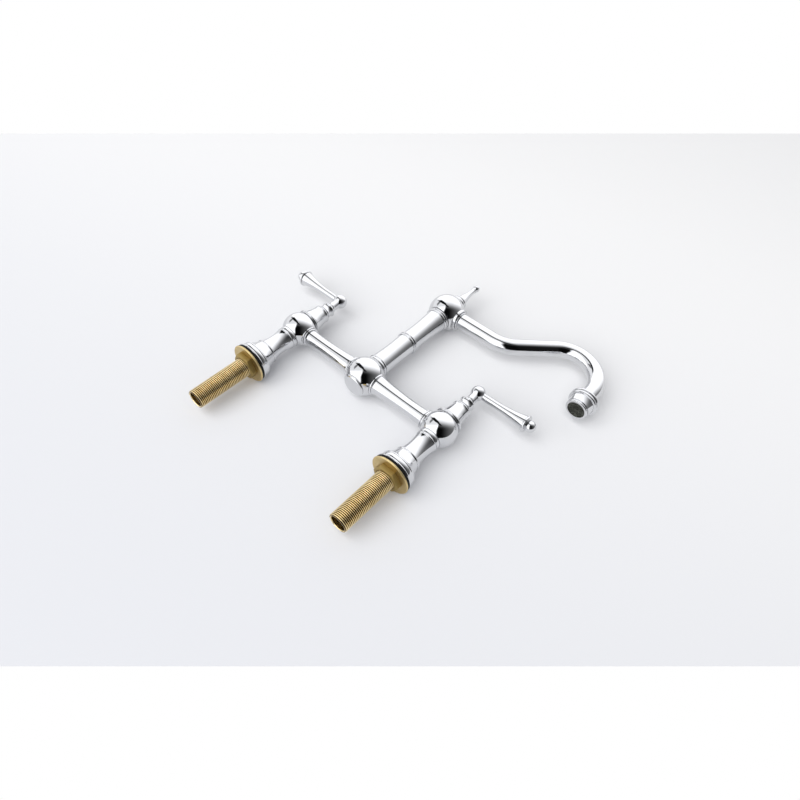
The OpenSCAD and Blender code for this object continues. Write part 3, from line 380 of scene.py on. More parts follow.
def flat_cut(piece: bpy.types.Object, point: Triple, normal: Triple) -> None:
    """Cut a flat on a piece.

    Args:
        piece: object whose mesh is cut.
        point: point of the flat, in millimetres.
        normal: way that the flat faces; what stands before it goes.
    """
    on_plane = 1e-8
    work = bmesh.new()
    work.from_mesh(piece.data)
    cut = bmesh.ops.bisect_plane(
        work,
        geom=[*work.verts, *work.edges, *work.faces],
        plane_co=Vector(point) * MM,
        plane_no=Vector(normal),
        clear_outer=True,
        dist=on_plane,
    )
    rim = [e for e in cut["geom_cut"] if isinstance(e, bmesh.types.BMEdge)]
    made = bmesh.ops.edgeloop_fill(work, edges=rim)
    bmesh.ops.recalc_face_normals(work, faces=work.faces)
    for face in made["faces"]:
        face.smooth = True
    work.to_mesh(piece.data)
    work.free()
    piece.data.set_sharp_from_angle(angle=math.radians(SHARP_DEG))


# Sizes that the sub-assemblies share


@dataclass(frozen=True)
class Levels:
    """Heights above the deck and radii, in millimetres."""

    tap_x: float = 101.5
    pillar_foot: float = 2.7
    pillar_top: float = 49.6
    collar_h: float = 7.5
    valve_ball: float = 19.0
    valve_top_r: float = 14.3
    collar_r: float = 12.6
    ring_h: float = 2.5
    bonnet_h: float = 20.5
    handle_gap: float = 0.3
    hub_h: float = 27.9
    centre_ball: float = 21.0
    foot_ring_r: float = 13.6
    spigot_r: float = 9.05
    spigot_h: float = 4.1
    water_r: float = 6.5

    @property
    def valve_foot(self) -> float:
        """Height of the flat under the valve ball."""
        return self.pillar_top + self.collar_h

    @property
    def bridge(self) -> float:
        """Height of the bridge's axis."""
        return self.valve_foot + math.sqrt(self.valve_ball**2 - self.collar_r**2)

    @property
    def valve_top(self) -> float:
        """Height of the flat on the valve ball."""
        return self.bridge + math.sqrt(self.valve_ball**2 - self.valve_top_r**2)

    @property
    def bonnet(self) -> float:
        """Height of the bonnet's foot."""
        return self.valve_top + self.ring_h

    @property
    def handle(self) -> float:
        """Height of the handle's foot."""
        return self.bonnet + self.bonnet_h + self.handle_gap

    @property
    def riser_foot(self) -> float:
        """Height of the flat on the centre ball."""
        return self.bridge + math.sqrt(self.centre_ball**2 - self.foot_ring_r**2)

    def tap(self, side: Side, height: float) -> Seat:
        """Upright seat on a tap's axis."""
        return Seat((side.value * self.tap_x, 0.0, height))


LEVELS = Levels()


# Finishes


class Graph:
    """Shorthand for the nodes of one tree. A socket that is given as a value is linked; a constant is set."""

    def __init__(self, tree: bpy.types.NodeTree) -> None:
        """Work on a tree."""
        self.tree = tree

    @classmethod
    def of(cls, block: bpy.types.ID) -> "Graph":
        """Graph on the emptied tree of a material or a world.

        Args:
            block: the material or world.

        Returns:
            The graph.
        """
        block.use_nodes = True
        block.node_tree.nodes.clear()
        return cls(block.node_tree)

    def node(self, kind: str, inputs: dict | None = None, **settings: object) -> bpy.types.Node:
        """Add a node.

        Args:
            kind: type name of the node, without its ShaderNode prefix.
            inputs: values of its sockets by name or number; None leaves a socket alone.
            settings: attributes of the node, set before its sockets.

        Returns:
            The new node.
        """
        made = self.tree.nodes.new("ShaderNode" + kind)
        for name, value in settings.items():
            setattr(made, name, value)
        for name, value in (inputs or {}).items():
            if isinstance(value, Socket):
                self.tree.links.new(value, made.inputs[name])
            elif value is not None:
                made.inputs[name].default_value = value
        return made

    def shared(self, group: bpy.types.NodeTree, inputs: dict | None = None) -> bpy.types.NodeOutputs:
        """Outputs of a shared node group."""
        return self.node("Group", inputs, node_tree=group).outputs

    def math(self, operation: str, first: object, second: object = None, clamp: bool = False) -> Socket:
        """Result of a Math node.

        Args:
            operation: name of the operation.
            first: socket or number.
            second: socket or number, where the operation takes two.
            clamp: keep the result between 0 and 1.

        Returns:
            The result's socket.
        """
        return self.node("Math", {0: first, 1: second}, operation=operation, use_clamp=clamp).outputs[0]

    def product(self, first: object, *others: object) -> Socket:
        """Product of sockets and numbers."""
        for other in others:
            first = self.math("MULTIPLY", first, other)
        return first

    def step(self, value: Socket, low: float, high: float, start: float = 0.0, end: float = 1.0) -> Socket:
        """Ease from start to end while a value goes from low to high."""
        inputs = {"Value": value, "From Min": low, "From Max": high, "To Min": start, "To Max": end}
        return self.node("MapRange", inputs, interpolation_type="SMOOTHSTEP", clamp=True).outputs["Result"]

    def blend(self, factor: Socket, first: object, second: object) -> Socket:
        """Number between two numbers by a factor."""
        return self.node("Mix", {"Factor": factor, 2: first, 3: second}, data_type="FLOAT").outputs[0]

    def tint(self, factor: Socket, first: object, second: object) -> Socket:
        """Colour between two colours by a factor; each is a socket or three numbers."""
        ends = [(*colour, 1.0) if isinstance(colour, tuple) else colour for colour in (first, second)]
        return self.node("Mix", {"Factor": factor, 6: ends[0], 7: ends[1]}, data_type="RGBA").outputs[2]

    def either(self, factor: Socket, first: Socket, second: Socket) -> Socket:
        """Shader between two shaders by a factor."""
        return self.node("MixShader", {0: factor, 1: first, 2: second}).outputs["Shader"]

    def glow(self, colour: object, strength: float) -> Socket:
        """Background shader of a colour and a strength."""
        return self.node("Background", {"Color": colour, "Strength": strength}).outputs["Background"]

    def facing(self, direction: Socket, axis: Sequence[float]) -> Socket:
        """Cosine between a direction and a fixed axis."""
        made = self.node("VectorMath", {0: direction, 1: tuple(axis)}, operation="DOT_PRODUCT")
        return made.outputs["Value"]

    def noise(
        self,
        place: Socket,
        scale: object,
        detail: float = 2.0,
        roughness: float = 0.5,
        dimensions: str = "3D",
    ) -> Socket:
        """Value of a noise texture at a place.

        Args:
            place: where the texture is read.
            scale: socket or number of its scale.
            detail: how many finer layers lie on it.
            roughness: how strong the finer layers are.
            dimensions: 3D, or 2D where only X and Y of the place count.

        Returns:
            The value's socket.
        """
        inputs = {"Vector": place, "Scale": scale, "Detail": detail, "Roughness": roughness}
        return self.node("TexNoise", inputs, noise_dimensions=dimensions).outputs["Fac"]


class GroupGraph(Graph):
    """A shader node group under construction."""

    def __init__(self, name: str, inputs: dict[str, float]) -> None:
        """Start a group with number inputs and their defaults.

        Args:
            name: name of the group.
            inputs: its number inputs and their defaults.
        """
        super().__init__(bpy.data.node_groups.new(name, "ShaderNodeTree"))
        for label, value in inputs.items():
            socket = self.tree.interface.new_socket(name=label, in_out="INPUT", socket_type="NodeSocketFloat")
            socket.default_value = value
        self.given = self.tree.nodes.new("NodeGroupInput").outputs
        self.place = self.node("TexCoord").outputs["Object"]

    def closed(self, outputs: dict[str, Socket]) -> bpy.types.NodeTree:
        """Give the group its number outputs and hand over its tree.

        Args:
            outputs: names of the outputs and the sockets that feed them.

        Returns:
            The group's tree.
        """
        for label in outputs:
            self.tree.interface.new_socket(name=label, in_out="OUTPUT", socket_type="NodeSocketFloat")
        end = self.tree.nodes.new("NodeGroupOutput")
        for label, socket in outputs.items():
            self.tree.links.new(socket, end.inputs[label])
        return self.tree


class Effects:
    """Shader node groups that several finishes share; their lengths are in metres."""

    CLOUD_EDGE: Ramp = (0.38, 0.66)
    STROKE_TURN: Triple = (0.5, 0.3, 0.9)
    STROKE_SHAPE: Triple = (0.08, 1.0, 0.5)
    BAND_SCALE = 420.0
    # Radii, in metres, over which the painted shade of the thread roots gives way to the plain colour; inside
    # the bore it stays plain.
    THREAD: Ramp = (0.0095, 0.0102)
    BORE: Ramp = (0.0092, 0.009)
    PAST_THREAD: Ramp = (0.0106, 0.0108)
    BELOW_DECK: Ramp = (-0.0019, -0.0023, 0.45, 1.0)
    PATCH_SCALE = 130.0
    PATCH_EDGE: Ramp = (0.35, 0.68)

    def __init__(self) -> None:
        """Build each group once."""
        self.wear = self._wear()
        self.lathe = self._lathe()
        self.grain = self._grain()

    def _wear(self) -> bpy.types.NodeTree:
        """Cloudy film and fine wipe marks of a handled surface.

        Returns:
            The group's tree.
        """
        g = GroupGraph("wipe_marks", {"Cloud Scale": 60.0, "Mark Scale": 900.0})
        cloud = g.noise(g.place, g.given["Cloud Scale"], detail=4.0, roughness=0.6)
        stroke = g.node(
            "Mapping", {"Vector": g.place, "Rotation": self.STROKE_TURN, "Scale": self.STROKE_SHAPE}
        )
        marks = g.noise(stroke.outputs["Vector"], g.given["Mark Scale"])
        return g.closed({"Film": g.step(cloud, *self.CLOUD_EDGE), "Marks": marks})

    def _lathe(self) -> bpy.types.NodeTree:
        """Fine rings round the two tap axes, with a mask of the thread's crests, which sets where the thread
        roots get painted shade, and one of what lies past it.

        Returns:
            The group's tree.
        """
        g = GroupGraph("turned_rings", {"Axis": LEVELS.tap_x * MM, "Fineness": 2600.0})
        x, y, z = g.node("SeparateXYZ", {"Vector": g.place}).outputs
        across = g.math("SUBTRACT", g.math("ABSOLUTE", x), g.given["Axis"])
        squares = g.math("ADD", g.math("POWER", across, 2.0), g.math("POWER", y, 2.0))
        radius = g.math("POWER", squares, 0.5)
        ring = g.node("CombineXYZ", {"X": radius, "Y": z}).outputs["Vector"]
        return g.closed({
            "Rings": g.noise(ring, g.given["Fineness"], detail=3.0, roughness=0.7, dimensions="2D"),
            "Bands": g.noise(ring, self.BAND_SCALE, detail=1.0, dimensions="2D"),
            # Crest is 0 in the thread roots, where the painted shade goes, and 1 on the crests and in the
            # bore.
            "Crest": g.math("MAXIMUM", g.step(radius, *self.THREAD), g.step(radius, *self.BORE)),
            "Flats": g.product(g.step(radius, *self.PAST_THREAD), g.step(z, *self.BELOW_DECK)),
        })

    def _grain(self) -> bpy.types.NodeTree:
        """Even fine grain with slow patches, for moulded, sintered and woven pieces.

        Returns:
            The group's tree.
        """
        g = GroupGraph("moulded_grain", {"Scale": 1500.0})
        grain = g.noise(g.place, g.given["Scale"], detail=5.0, roughness=0.65)
        patches = g.step(g.noise(g.place, self.PATCH_SCALE), *self.PATCH_EDGE)
        return g.closed({"Grain": grain, "Patches": patches})


# The sockets of a surface's colour, its roughness and the height of its marks.
Look = tuple[Socket, Socket, Socket]


@dataclass(frozen=True)
class Finish:
    """Grained surface: its two colours, its range of roughness and the height of its marks in millimetres."""

    name: str
    colour: Triple
    second: Triple
    roughness: Ramp
    marks: float
    metallic: float = 0.0
    gloss: float = 0.5
    grain_range: Ramp = (0.2, 0.8)

    def build(self, effects: Effects) -> bpy.types.Material:
        """Make the material.

        Args:
            effects: the shared node groups.

        Returns:
            The material.
        """
        material = bpy.data.materials.new(self.name)
        g = Graph.of(material)
        colour, roughness, height = self.look(g, effects)
        bump = g.node("Bump", {"Strength": 1.0, "Distance": self.marks * MM, "Height": height})
        shader = g.node("BsdfPrincipled", {
            "Base Color": colour,
            "Roughness": roughness,
            "Metallic": self.metallic,
            "Specular IOR Level": self.gloss,
            "Normal": bump.outputs["Normal"],
        })
        g.node("OutputMaterial", {"Surface": shader.outputs["BSDF"]})
        return material

    def look(self, g: Graph, effects: Effects) -> Look:
        """Colour, roughness and height of the marks: grain under patches of two colours.

        Args:
            g: graph of the material.
            effects: the shared node groups.

        Returns:
            Sockets of the colour, the roughness and the height of the marks.
        """
        grain = g.shared(effects.grain)
        colour = g.tint(grain["Patches"], self.colour, self.second)
        return colour, g.step(grain["Grain"], *self.grain_range, *self.roughness), grain["Grain"]


@dataclass(frozen=True)
class PolishedFinish(Finish):
    """Polished plating with a faint film and wipe marks."""

    def look(self, g: Graph, effects: Effects) -> Look:
        """Colour, roughness and height of the marks.

        Args:
            g: graph of the material.
            effects: the shared node groups.

        Returns:
            Sockets of the colour, the roughness and the height of the marks.
        """
        wear = g.shared(effects.wear)
        colour = g.tint(wear["Film"], self.colour, self.second)
        return colour, g.step(wear["Film"], 0.0, 1.0, *self.roughness), wear["Marks"]


@dataclass(frozen=True)
class WovenFinish(Finish):
    """Fine wire weave with painted light: noise flecks of a bright colour stand for lit crossings and of a
    dark colour for shaded openings.
    """

    fineness: float = 1100.0
    painted_light_split: Ramp = (0.46, 0.6)

    def look(self, g: Graph, effects: Effects) -> Look:
        """Colour, roughness and height of the marks.

        Args:
            g: graph of the material.
            effects: the shared node groups.

        Returns:
            Sockets of the colour, the roughness and the height of the marks.
        """
        grain = g.shared(effects.grain, {"Scale": self.fineness})["Grain"]
        # Painted highlight and painted shade: noise splits the wire into bright, lit-looking flecks and dark,
        # shaded-looking flecks.
        colour = g.tint(g.step(grain, *self.painted_light_split), self.second, self.colour)
        return colour, g.step(grain, *self.grain_range, *self.roughness), grain


@dataclass(frozen=True)
class TurnedFinish(Finish):
    """Turned bare metal with fine rings, bands of tarnish, a film, painted shade in the thread roots and
    duller flats.
    """

    # Colour of the painted shade in the thread roots.
    painted_root_shade: Triple = (0.1, 0.1, 0.1)
    flats: Triple = (0.1, 0.1, 0.1)
    flats_roughness: float = 0.5
    clouds: float = 95.0
    ring_range: Ramp = (0.25, 0.75)

    def look(self, g: Graph, effects: Effects) -> Look:
        """Colour, roughness and height of the marks.

        Args:
            g: graph of the material.
            effects: the shared node groups.

        Returns:
            Sockets of the colour, the roughness and the height of the marks.
        """
        lathe = g.shared(effects.lathe)
        wear = g.shared(effects.wear, {"Cloud Scale": self.clouds})
        tarnish = g.math("MULTIPLY", lathe["Bands"], wear["Film"], clamp=True)
        plain_tone = g.tint(lathe["Flats"], g.tint(tarnish, self.colour, self.second), self.flats)
        turned = g.step(lathe["Rings"], *self.ring_range, *self.roughness)
        roughness = g.blend(lathe["Flats"], turned, self.flats_roughness)
        # Painted shade: the thread roots take the dark root colour instead of the plain brass tone.
        return g.tint(lathe["Crest"], self.painted_root_shade, plain_tone), roughness, lathe["Rings"]


class FinishBook:
    """Every material of the mixer, by the record's slot."""

    def __init__(self) -> None:
        """Build the shared groups and the materials."""
        effects = Effects()
        recipes = {
            Slot.CHROME: PolishedFinish(
                "polished_chrome", (0.68, 0.683, 0.695), (0.645, 0.65, 0.665), (0.03, 0.06),
                marks=0.0005, metallic=1.0,
            ),
            # Its root colour is the painted shade in the thread roots.
            Slot.BRASS: TurnedFinish(
                "turned_brass", (0.93, 0.755, 0.42), (0.58, 0.43, 0.19), (0.17, 0.28),
                marks=0.006, metallic=1.0, painted_root_shade=(0.15, 0.087, 0.018), flats=(0.4, 0.295, 0.112),
            ),
            Slot.RUBBER: Finish(
                "black_rubber", (0.006, 0.006, 0.0065), (0.01, 0.01, 0.01), (0.5, 0.7), marks=0.03, gloss=0.15
            ),
            Slot.CERAMIC: Finish(
                "sintered_ceramic", (0.82, 0.80, 0.74), (0.86, 0.85, 0.80), (0.12, 0.2), marks=0.002
            ),
            Slot.PLASTIC: Finish(
                "moulded_plastic", (0.86, 0.86, 0.85), (0.80, 0.80, 0.79), (0.3, 0.42), marks=0.01
            ),
            # Its bright colour is painted highlight on the weave's crossings and its dark colour painted
            # shade in its openings.
            Slot.STEEL: WovenFinish(
                "dark_steel", (0.3, 0.31, 0.27), (0.035, 0.036, 0.03), (0.28, 0.45), marks=0.01, metallic=1.0
            ),
        }
        self.materials = {slot: recipe.build(effects) for slot, recipe in recipes.items()}

    def dress(self, piece: bpy.types.Object, slot: Slot) -> None:
        """Give a whole piece one finish."""
        piece.data.materials.clear()
        piece.data.materials.append(self.materials[slot])

    def dress_node(self, node: bpy.types.Object, slot: Slot) -> None:
        """Give a CAD node a finish in each of its slots.

        Args:
            node: the CAD node's object.
            slot: the record's slot of its finish.
        """
        if not node.material_slots:
            node.data.materials.append(self.materials[slot])
        for place in node.material_slots:
            place.material = self.materials[slot]


class Workshop:
    """Hands finished pieces to the frame."""

    def __init__(self, book: FinishBook) -> None:
        """Keep the finishes at hand."""
        self.book = book

    def add(self, piece: bpy.types.Object, slot: Slot, body: str, *nodes: str) -> None:
        """Dress a piece, put it on its body and let it stand for its CAD nodes.

        Args:
            piece: the new object.
            slot: the record's slot of its finish.
            body: the body that it rides on.
            nodes: CAD nodes that it stands for.
        """
        self.book.dress(piece, slot)
        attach(piece, body)
        if nodes:
            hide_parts(*nodes)
        LOG.info("%s on %s: %d faces", piece.name, body, len(piece.data.polygons))

    def turn(
        self,
        name: str,
        outline: Outline,
        seat: Seat,
        node: str,
        body: str = "body",
        slot: Slot = Slot.CHROME,
        around: int = AROUND,
    ) -> None:
        """Turn a piece and add it.

        Args:
            name: name of the piece.
            outline: its edge.
            seat: its place.
            node: CAD node that it stands for.
            body: the body that it rides on.
            slot: the record's slot of its finish.
            around: number of steps in a turn.
        """
        self.add(Shell().turned(outline, seat, around).object(name), slot, body, node)


# The mixer


def two_rings(outer: float, height: float, bore: float, step: float = 0.0) -> Outline:
    """Outline of two rounded rings with a groove between them.

    Args:
        outer: radius of the upper ring.
        height: height of both rings together.
        bore: radius of the hole.
        step: how much smaller the lower ring is.

    Returns:
        The closed outline.
    """
    gap, depth = 0.7, 0.9
    half = (height - gap) / 2
    low, high, groove = outer - step - BEAD, outer - BEAD, outer - step - depth
    return (
        Outline(bore, 0).to(low, 0, ease=0.12).bead(low, half).to(groove, half, ease=0.1)
        .to(groove, half + gap, ease=0.1).to(high, half + gap, ease=0.12).bead(high, height).to(bore, height)
    )


@dataclass
class TapFoot:
    """What stands under one valve: shank, nut, washer, gasket, pillar and collar."""

    side: Side
    thread_r: float = 10.4775
    pitch: float = 1.814
    thread_depth: float = 1.16
    crest_round: float = 0.08
    thread_around: int = 48
    shank_foot: float = -69.5
    shank_top: float = 14.7
    shank_bore: float = 8.3175
    shank_chamfer: float = 0.7
    bore_chamfer: float = 0.6
    nut_bore: float = 10.5275
    nut_flats: float = 27.0
    nut_h: float = 6.2
    nut_top: float = -2.04
    nut_around: int = 192
    washer_r: float = 22.1
    washer_t: float = 2.0
    washer_foot: float = -2.02
    washer_bevel: float = 0.6
    gasket_r: float = 21.5
    gasket_bore: float = 10.7775
    gasket_bulge: float = 0.12
    socket_r: float = 10.5275
    socket_h: float = 12.0

    def build(self, shop: Workshop) -> None:
        """Build and place each piece.

        Args:
            shop: workshop that dresses the pieces and hands them to the frame.
        """
        label, node = self.side.label, self.side.node
        shop.add(self.shank(), Slot.BRASS, "body", f"{node}_shank")
        shop.add(self.nut(), Slot.BRASS, f"{node}_backnut", f"{node}_backnut")
        for part, outline, foot, body, slot in (
            ("clamp_washer", self.washer(), self.washer_foot, f"{node}_clamp_washer", Slot.BRASS),
            ("gasket", self.gasket(), 0, "body", Slot.RUBBER),
            ("pillar", self.pillar(), LEVELS.pillar_foot, "body", Slot.CHROME),
            ("neck_collar", self.collar(), LEVELS.pillar_top, "body", Slot.CHROME),
        ):
            seat = LEVELS.tap(self.side, foot)
            shop.turn(f"{label}_{part}", outline, seat, f"{node}_{part}", body, slot)

    def shank(self) -> bpy.types.Object:
        """Shank with a real helical thread, a chamfered end and a water bore.

        Returns:
            The shank's object.
        """
        root, crest = self.thread_r - self.thread_depth, self.thread_r
        shoulder = crest - self.crest_round
        groove = ((0.08, root), (0.4, shoulder), (0.45, crest), (0.55, crest), (0.6, shoulder), (0.92, root))
        turns = math.ceil((self.shank_top - self.shank_foot) / self.pitch)
        columns = []
        for k in range(self.thread_around + 1):
            share = k / self.thread_around
            column = []
            for turn in range(-1, turns + 1):
                for phase, radius in groove:
                    z = self.shank_foot + self.pitch * (turn + phase + share)
                    z = min(max(z, self.shank_foot), self.shank_top)
                    r = min(radius, crest - self.shank_chamfer + (z - self.shank_foot))
                    column.append(round_z(r, math.tau * share, z))
            columns.append(column)
        place = LEVELS.tap(self.side, 0).matrix()
        shell = Shell()
        shell.grid([[place @ p for p in column] for column in columns], False, False)
        bore, cut, foot = self.shank_bore, self.bore_chamfer, self.shank_foot
        inside = ((bore, self.shank_top), (bore, foot + cut), (bore + cut, foot))
        rows = []
        for k, column in enumerate(columns[:-1]):
            inner = [round_z(r, math.tau * k / self.thread_around, z) for r, z in inside]
            rows.append([place @ p for p in (column[-1], *inner, column[0])])
        shell.grid(rows, True, False)
        return shell.object(f"{self.side.label}_shank", sharp=40)

    def nut(self) -> bpy.types.Object:
        """Hexagonal backnut with chamfered corners and a countersunk thread hole.

        Returns:
            The nut's object.
        """
        flat, corner = self.nut_flats / 2, self.nut_flats / math.sqrt(3)
        sink, top_sink, top_cut, corner_cut, corner_rise = 0.7, 0.5, 0.2, 0.25, 1.4
        face_edge, face_round, face_rise = 0.35, 0.15, 0.03
        rim, bore, height = flat - face_edge, self.nut_bore, self.nut_h
        slope = corner_rise / (corner - rim)
        twelfth = math.tau / 12

        def edge(angle: float) -> list[Point]:
            """Edge of the nut in one direction.

            Args:
                angle: the direction, in radians.

            Returns:
                The edge's points, closed into a ring.
            """
            away = (angle + twelfth) % (2 * twelfth) - twelfth
            reach = min(flat / math.cos(twelfth - abs(away)), corner - corner_cut)
            rise = slope * (reach - rim)
            return [
                (bore, sink), (bore + sink, 0), (rim - face_round, 0), (rim, face_rise),
                (reach, max(rise, 2 * face_rise)), (reach, height - top_cut), (reach - top_cut, height),
                (bore + top_sink, height), (bore, height - top_sink),
            ]

        seat = LEVELS.tap(self.side, self.nut_top - self.nut_h)
        return Shell().revolved(edge, seat, self.nut_around).object(f"{self.side.label}_backnut", sharp=25)

    def washer(self) -> Outline:
        """Thick brass washer with bevelled edges.

        Returns:
            The piece's outline.
        """
        r, t, cut = self.washer_r, self.washer_t, self.washer_bevel
        return (
            Outline(self.nut_bore, 0).to(r - cut, 0, ease=0.2).to(r, cut, ease=0.25)
            .to(r, t - cut, ease=0.25).to(r - cut, t, ease=0.2).to(self.nut_bore, t)
        )

    def gasket(self) -> Outline:
        """Flat rubber ring with a slightly pressed-out edge.

        Returns:
            The piece's outline.
        """
        bore, top, bulge = self.gasket_bore, LEVELS.pillar_foot, self.gasket_bulge
        side = self.gasket_r - bulge
        return Outline(bore, 0).to(side, 0, ease=0.25).to(side, top, swell=bulge, ease=0.25).to(bore, top)

    def pillar(self) -> Outline:
        """Pillar with its rim, step, shoulder, bell, bead and hollow neck.

        Returns:
            The piece's outline.
        """
        socket, depth, water = self.socket_r, self.socket_h, LEVELS.water_r
        top = LEVELS.pillar_top - LEVELS.pillar_foot
        return (
            Outline(socket, 0).to(20.85, 0, ease=0.15).bead(20.85, 2, ease=0.15).to(19.75, 2, ease=0.12)
            .bead(19.75, 6.65, ease=0.15).bead(19.0, 8.85).to(18.2, 8.85, ease=0.2)
            .to(13.55, 20.25, swell=-0.4, ease=0.15).to(13.775, 20.25, ease=0.08).bead(13.775, 22.05)
            .to(13.1, 22.05, ease=0.12).to(12.3, top, swell=-1.8, ease=0.1).to(water, top).to(water, depth)
            .to(socket, depth).to(socket, 0)
        )

    def collar(self) -> Outline:
        """Narrow and broad ring between pillar and valve ball.

        Returns:
            The piece's outline.
        """
        r, bore, top = LEVELS.collar_r - BEAD, LEVELS.spigot_r, LEVELS.collar_h
        groove = r - 0.45
        return (
            Outline(bore, 0).to(r, 0, ease=0.12).bead(r, 2.1).to(groove, 2.1, ease=0.1)
            .to(groove, 2.8, ease=0.1).to(r, 2.8, ease=0.15).bead(r, top).to(bore, top)
        )


@dataclass
class Valve:
    """Valve ball with its ring and bonnet."""

    side: Side
    bridge_flat: float = 15.348
    cartridge_r: float = 9.6
    seat_drop: float = 22.5

    def build(self, shop: Workshop) -> None:
        """Build and place the ball and the bonnet.

        Args:
            shop: workshop that dresses the pieces and hands them to the frame.
        """
        side, lv = self.side, LEVELS
        seat = lv.tap(side, lv.bridge)
        ball = Shell().turned(self.ball(), seat, FINE_AROUND).object(f"{side.label}_valve_ball")
        flat_cut(ball, (side.value * (lv.tap_x - self.bridge_flat), 0, lv.bridge), (-side.value, 0, 0))
        shop.add(ball, Slot.CHROME, "body", f"{side.node}_valve_ball")
        shop.turn(f"{side.label}_bonnet", self.bonnet(), lv.tap(side, lv.bonnet), f"{side.node}_bonnet")

    def ball(self) -> Outline:
        """Ball with flats below and above, the cartridge's bore and the water way.

        Returns:
            The piece's outline.
        """
        lv, bore = LEVELS, self.cartridge_r
        foot, top = lv.valve_foot - lv.bridge, lv.valve_top - lv.bridge
        seat = lv.bonnet - self.seat_drop - lv.bridge
        spigot = foot + lv.spigot_h
        return (
            Outline(lv.spigot_r, foot).to(lv.collar_r, foot).dome(0, lv.valve_ball, lv.valve_top_r, top)
            .to(bore, top).to(bore, seat).to(lv.water_r, seat).to(lv.water_r, spigot)
            .to(lv.spigot_r, spigot).to(lv.spigot_r, foot)
        )

    @classmethod
    def ring(cls) -> Outline:
        """Rounded ring on the valve ball with a thin step under it.

        Returns:
            The piece's outline.
        """
        bore, top = cls.cartridge_r, LEVELS.ring_h
        return (
            Outline(bore, 0).to(15.0, 0).to(15.0, 0.625, ease=0.08).to(15.45, 0.625, ease=0.1)
            .bead(15.45, top).to(bore, top)
        )

    @staticmethod
    def bonnet() -> Outline:
        """Hollow bonnet with a flared rim.

        Returns:
            The piece's outline.
        """
        hole, top = 6.05, LEVELS.bonnet_h
        return (
            Outline(12.0, 0).to(13.5, 0, ease=0.1).to(13.5, 1.5, ease=0.2)
            .to(10.0, 16.9, swell=-0.45, ease=0.3).to(10.1, 18.5, ease=0.1).bead(10.1, top)
            .to(hole, top).to(hole, 14.9).to(8.2, 15.9).to(11.4, 2.3).to(12.0, 2.3).to(12.0, 0)
        )


@dataclass
class LeverHandle:
    """Turning handle of one tap: neck with hub ball, lever and tip."""

    side: Side
    rise_deg: float = 1.0
    hub_ball: float = 8.1
    hub_neck: float = 5.1
    spindle_r: float = 4.05
    spindle_h: float = 7.0
    lever_start: float = 7.0427
    lever_len: float = 57.4
    tip_ball: float = 6.4
    tip_neck: float = 5.4

    def axis(self) -> Triple:
        """Way that the lever points at rest."""
        rise = math.radians(self.rise_deg)
        return (self.side.value * math.cos(rise), 0.0, math.sin(rise))

    def build(self, shop: Workshop) -> None:
        """Build and place the handle's pieces.

        Args:
            shop: workshop that dresses the pieces and hands them to the frame.
        """
        label, node, lv = self.side.label, self.side.node, LEVELS
        body = f"{label}_handle"
        hub = Shell().turned(self.neck(), lv.tap(self.side, lv.handle)).object(f"{label}_hub")
        middle = Seat((self.side.value * lv.tap_x, 0.0, lv.handle + lv.hub_h), self.axis())
        flat_cut(hub, middle.above(self.lever_start).foot, self.axis())
        shop.add(hub, Slot.CHROME, body, f"{node}_hub")
        shop.turn(f"{label}_lever", self.lever(), middle, f"{node}_lever", body)
        tip_seat = middle.above(self.lever_len)
        shop.turn(f"{label}_lever_tip", self.tip(), tip_seat, f"{node}_lever_tip", body)

    def neck(self) -> Outline:
        """Handle neck: foot, hollow, ring, stalk and hub ball.

        Returns:
            The piece's outline.
        """
        hub, bore, depth = LEVELS.hub_h, self.spindle_r, self.spindle_h
        meet = hub - math.sqrt(self.hub_ball**2 - self.hub_neck**2)
        return (
            Outline(bore, 0).to(7.6, 0, ease=0.1).to(7.6, 1.4, ease=0.1).to(8.5, 1.6, ease=0.12)
            .to(8.5, 2.2, ease=0.2).to(8.35, 8.2, swell=-0.8, ease=0.12).bead(8.35, 10, ease=0.15)
            .to(6.4, 10.8, ease=0.3).to(5.9, 12.1, ease=0.25).to(6.3, 12.9, ease=0.2).to(5.4, 14.5, ease=0.5)
            .to(self.hub_neck, meet, ease=0.2).dome(hub, self.hub_ball, 0.0, hub + self.hub_ball)
            .to(0.0, depth).to(bore, depth).to(bore, 0)
        )

    def lever(self) -> Outline:
        """Slim lever that flares towards its end.

        Returns:
            The piece's outline.
        """
        start, end = self.lever_start, self.lever_len
        return (
            Outline(0, start).to(4.0, start).to(4.15, start + 8, ease=1.5)
            .to(8.5, end, swell=-1.5, ease=0.08).to(0, end)
        )

    def tip(self) -> Outline:
        """End ring of the lever with a ball in its middle.

        Returns:
            The piece's outline.
        """
        meet = 3.0
        middle = meet + math.sqrt(self.tip_ball**2 - self.tip_neck**2)
        return (
            Outline(0, 0).to(7.9, 0).to(7.9, 0.5, ease=0.12).to(9.25, 0.7, ease=0.15)
            .bead(9.25, 2.9, ease=0.15).to(8.3, 3.2, ease=0.2).to(self.tip_neck, meet, ease=0.1)
            .dome(middle, self.tip_ball, 0.0, middle + self.tip_ball)
        )


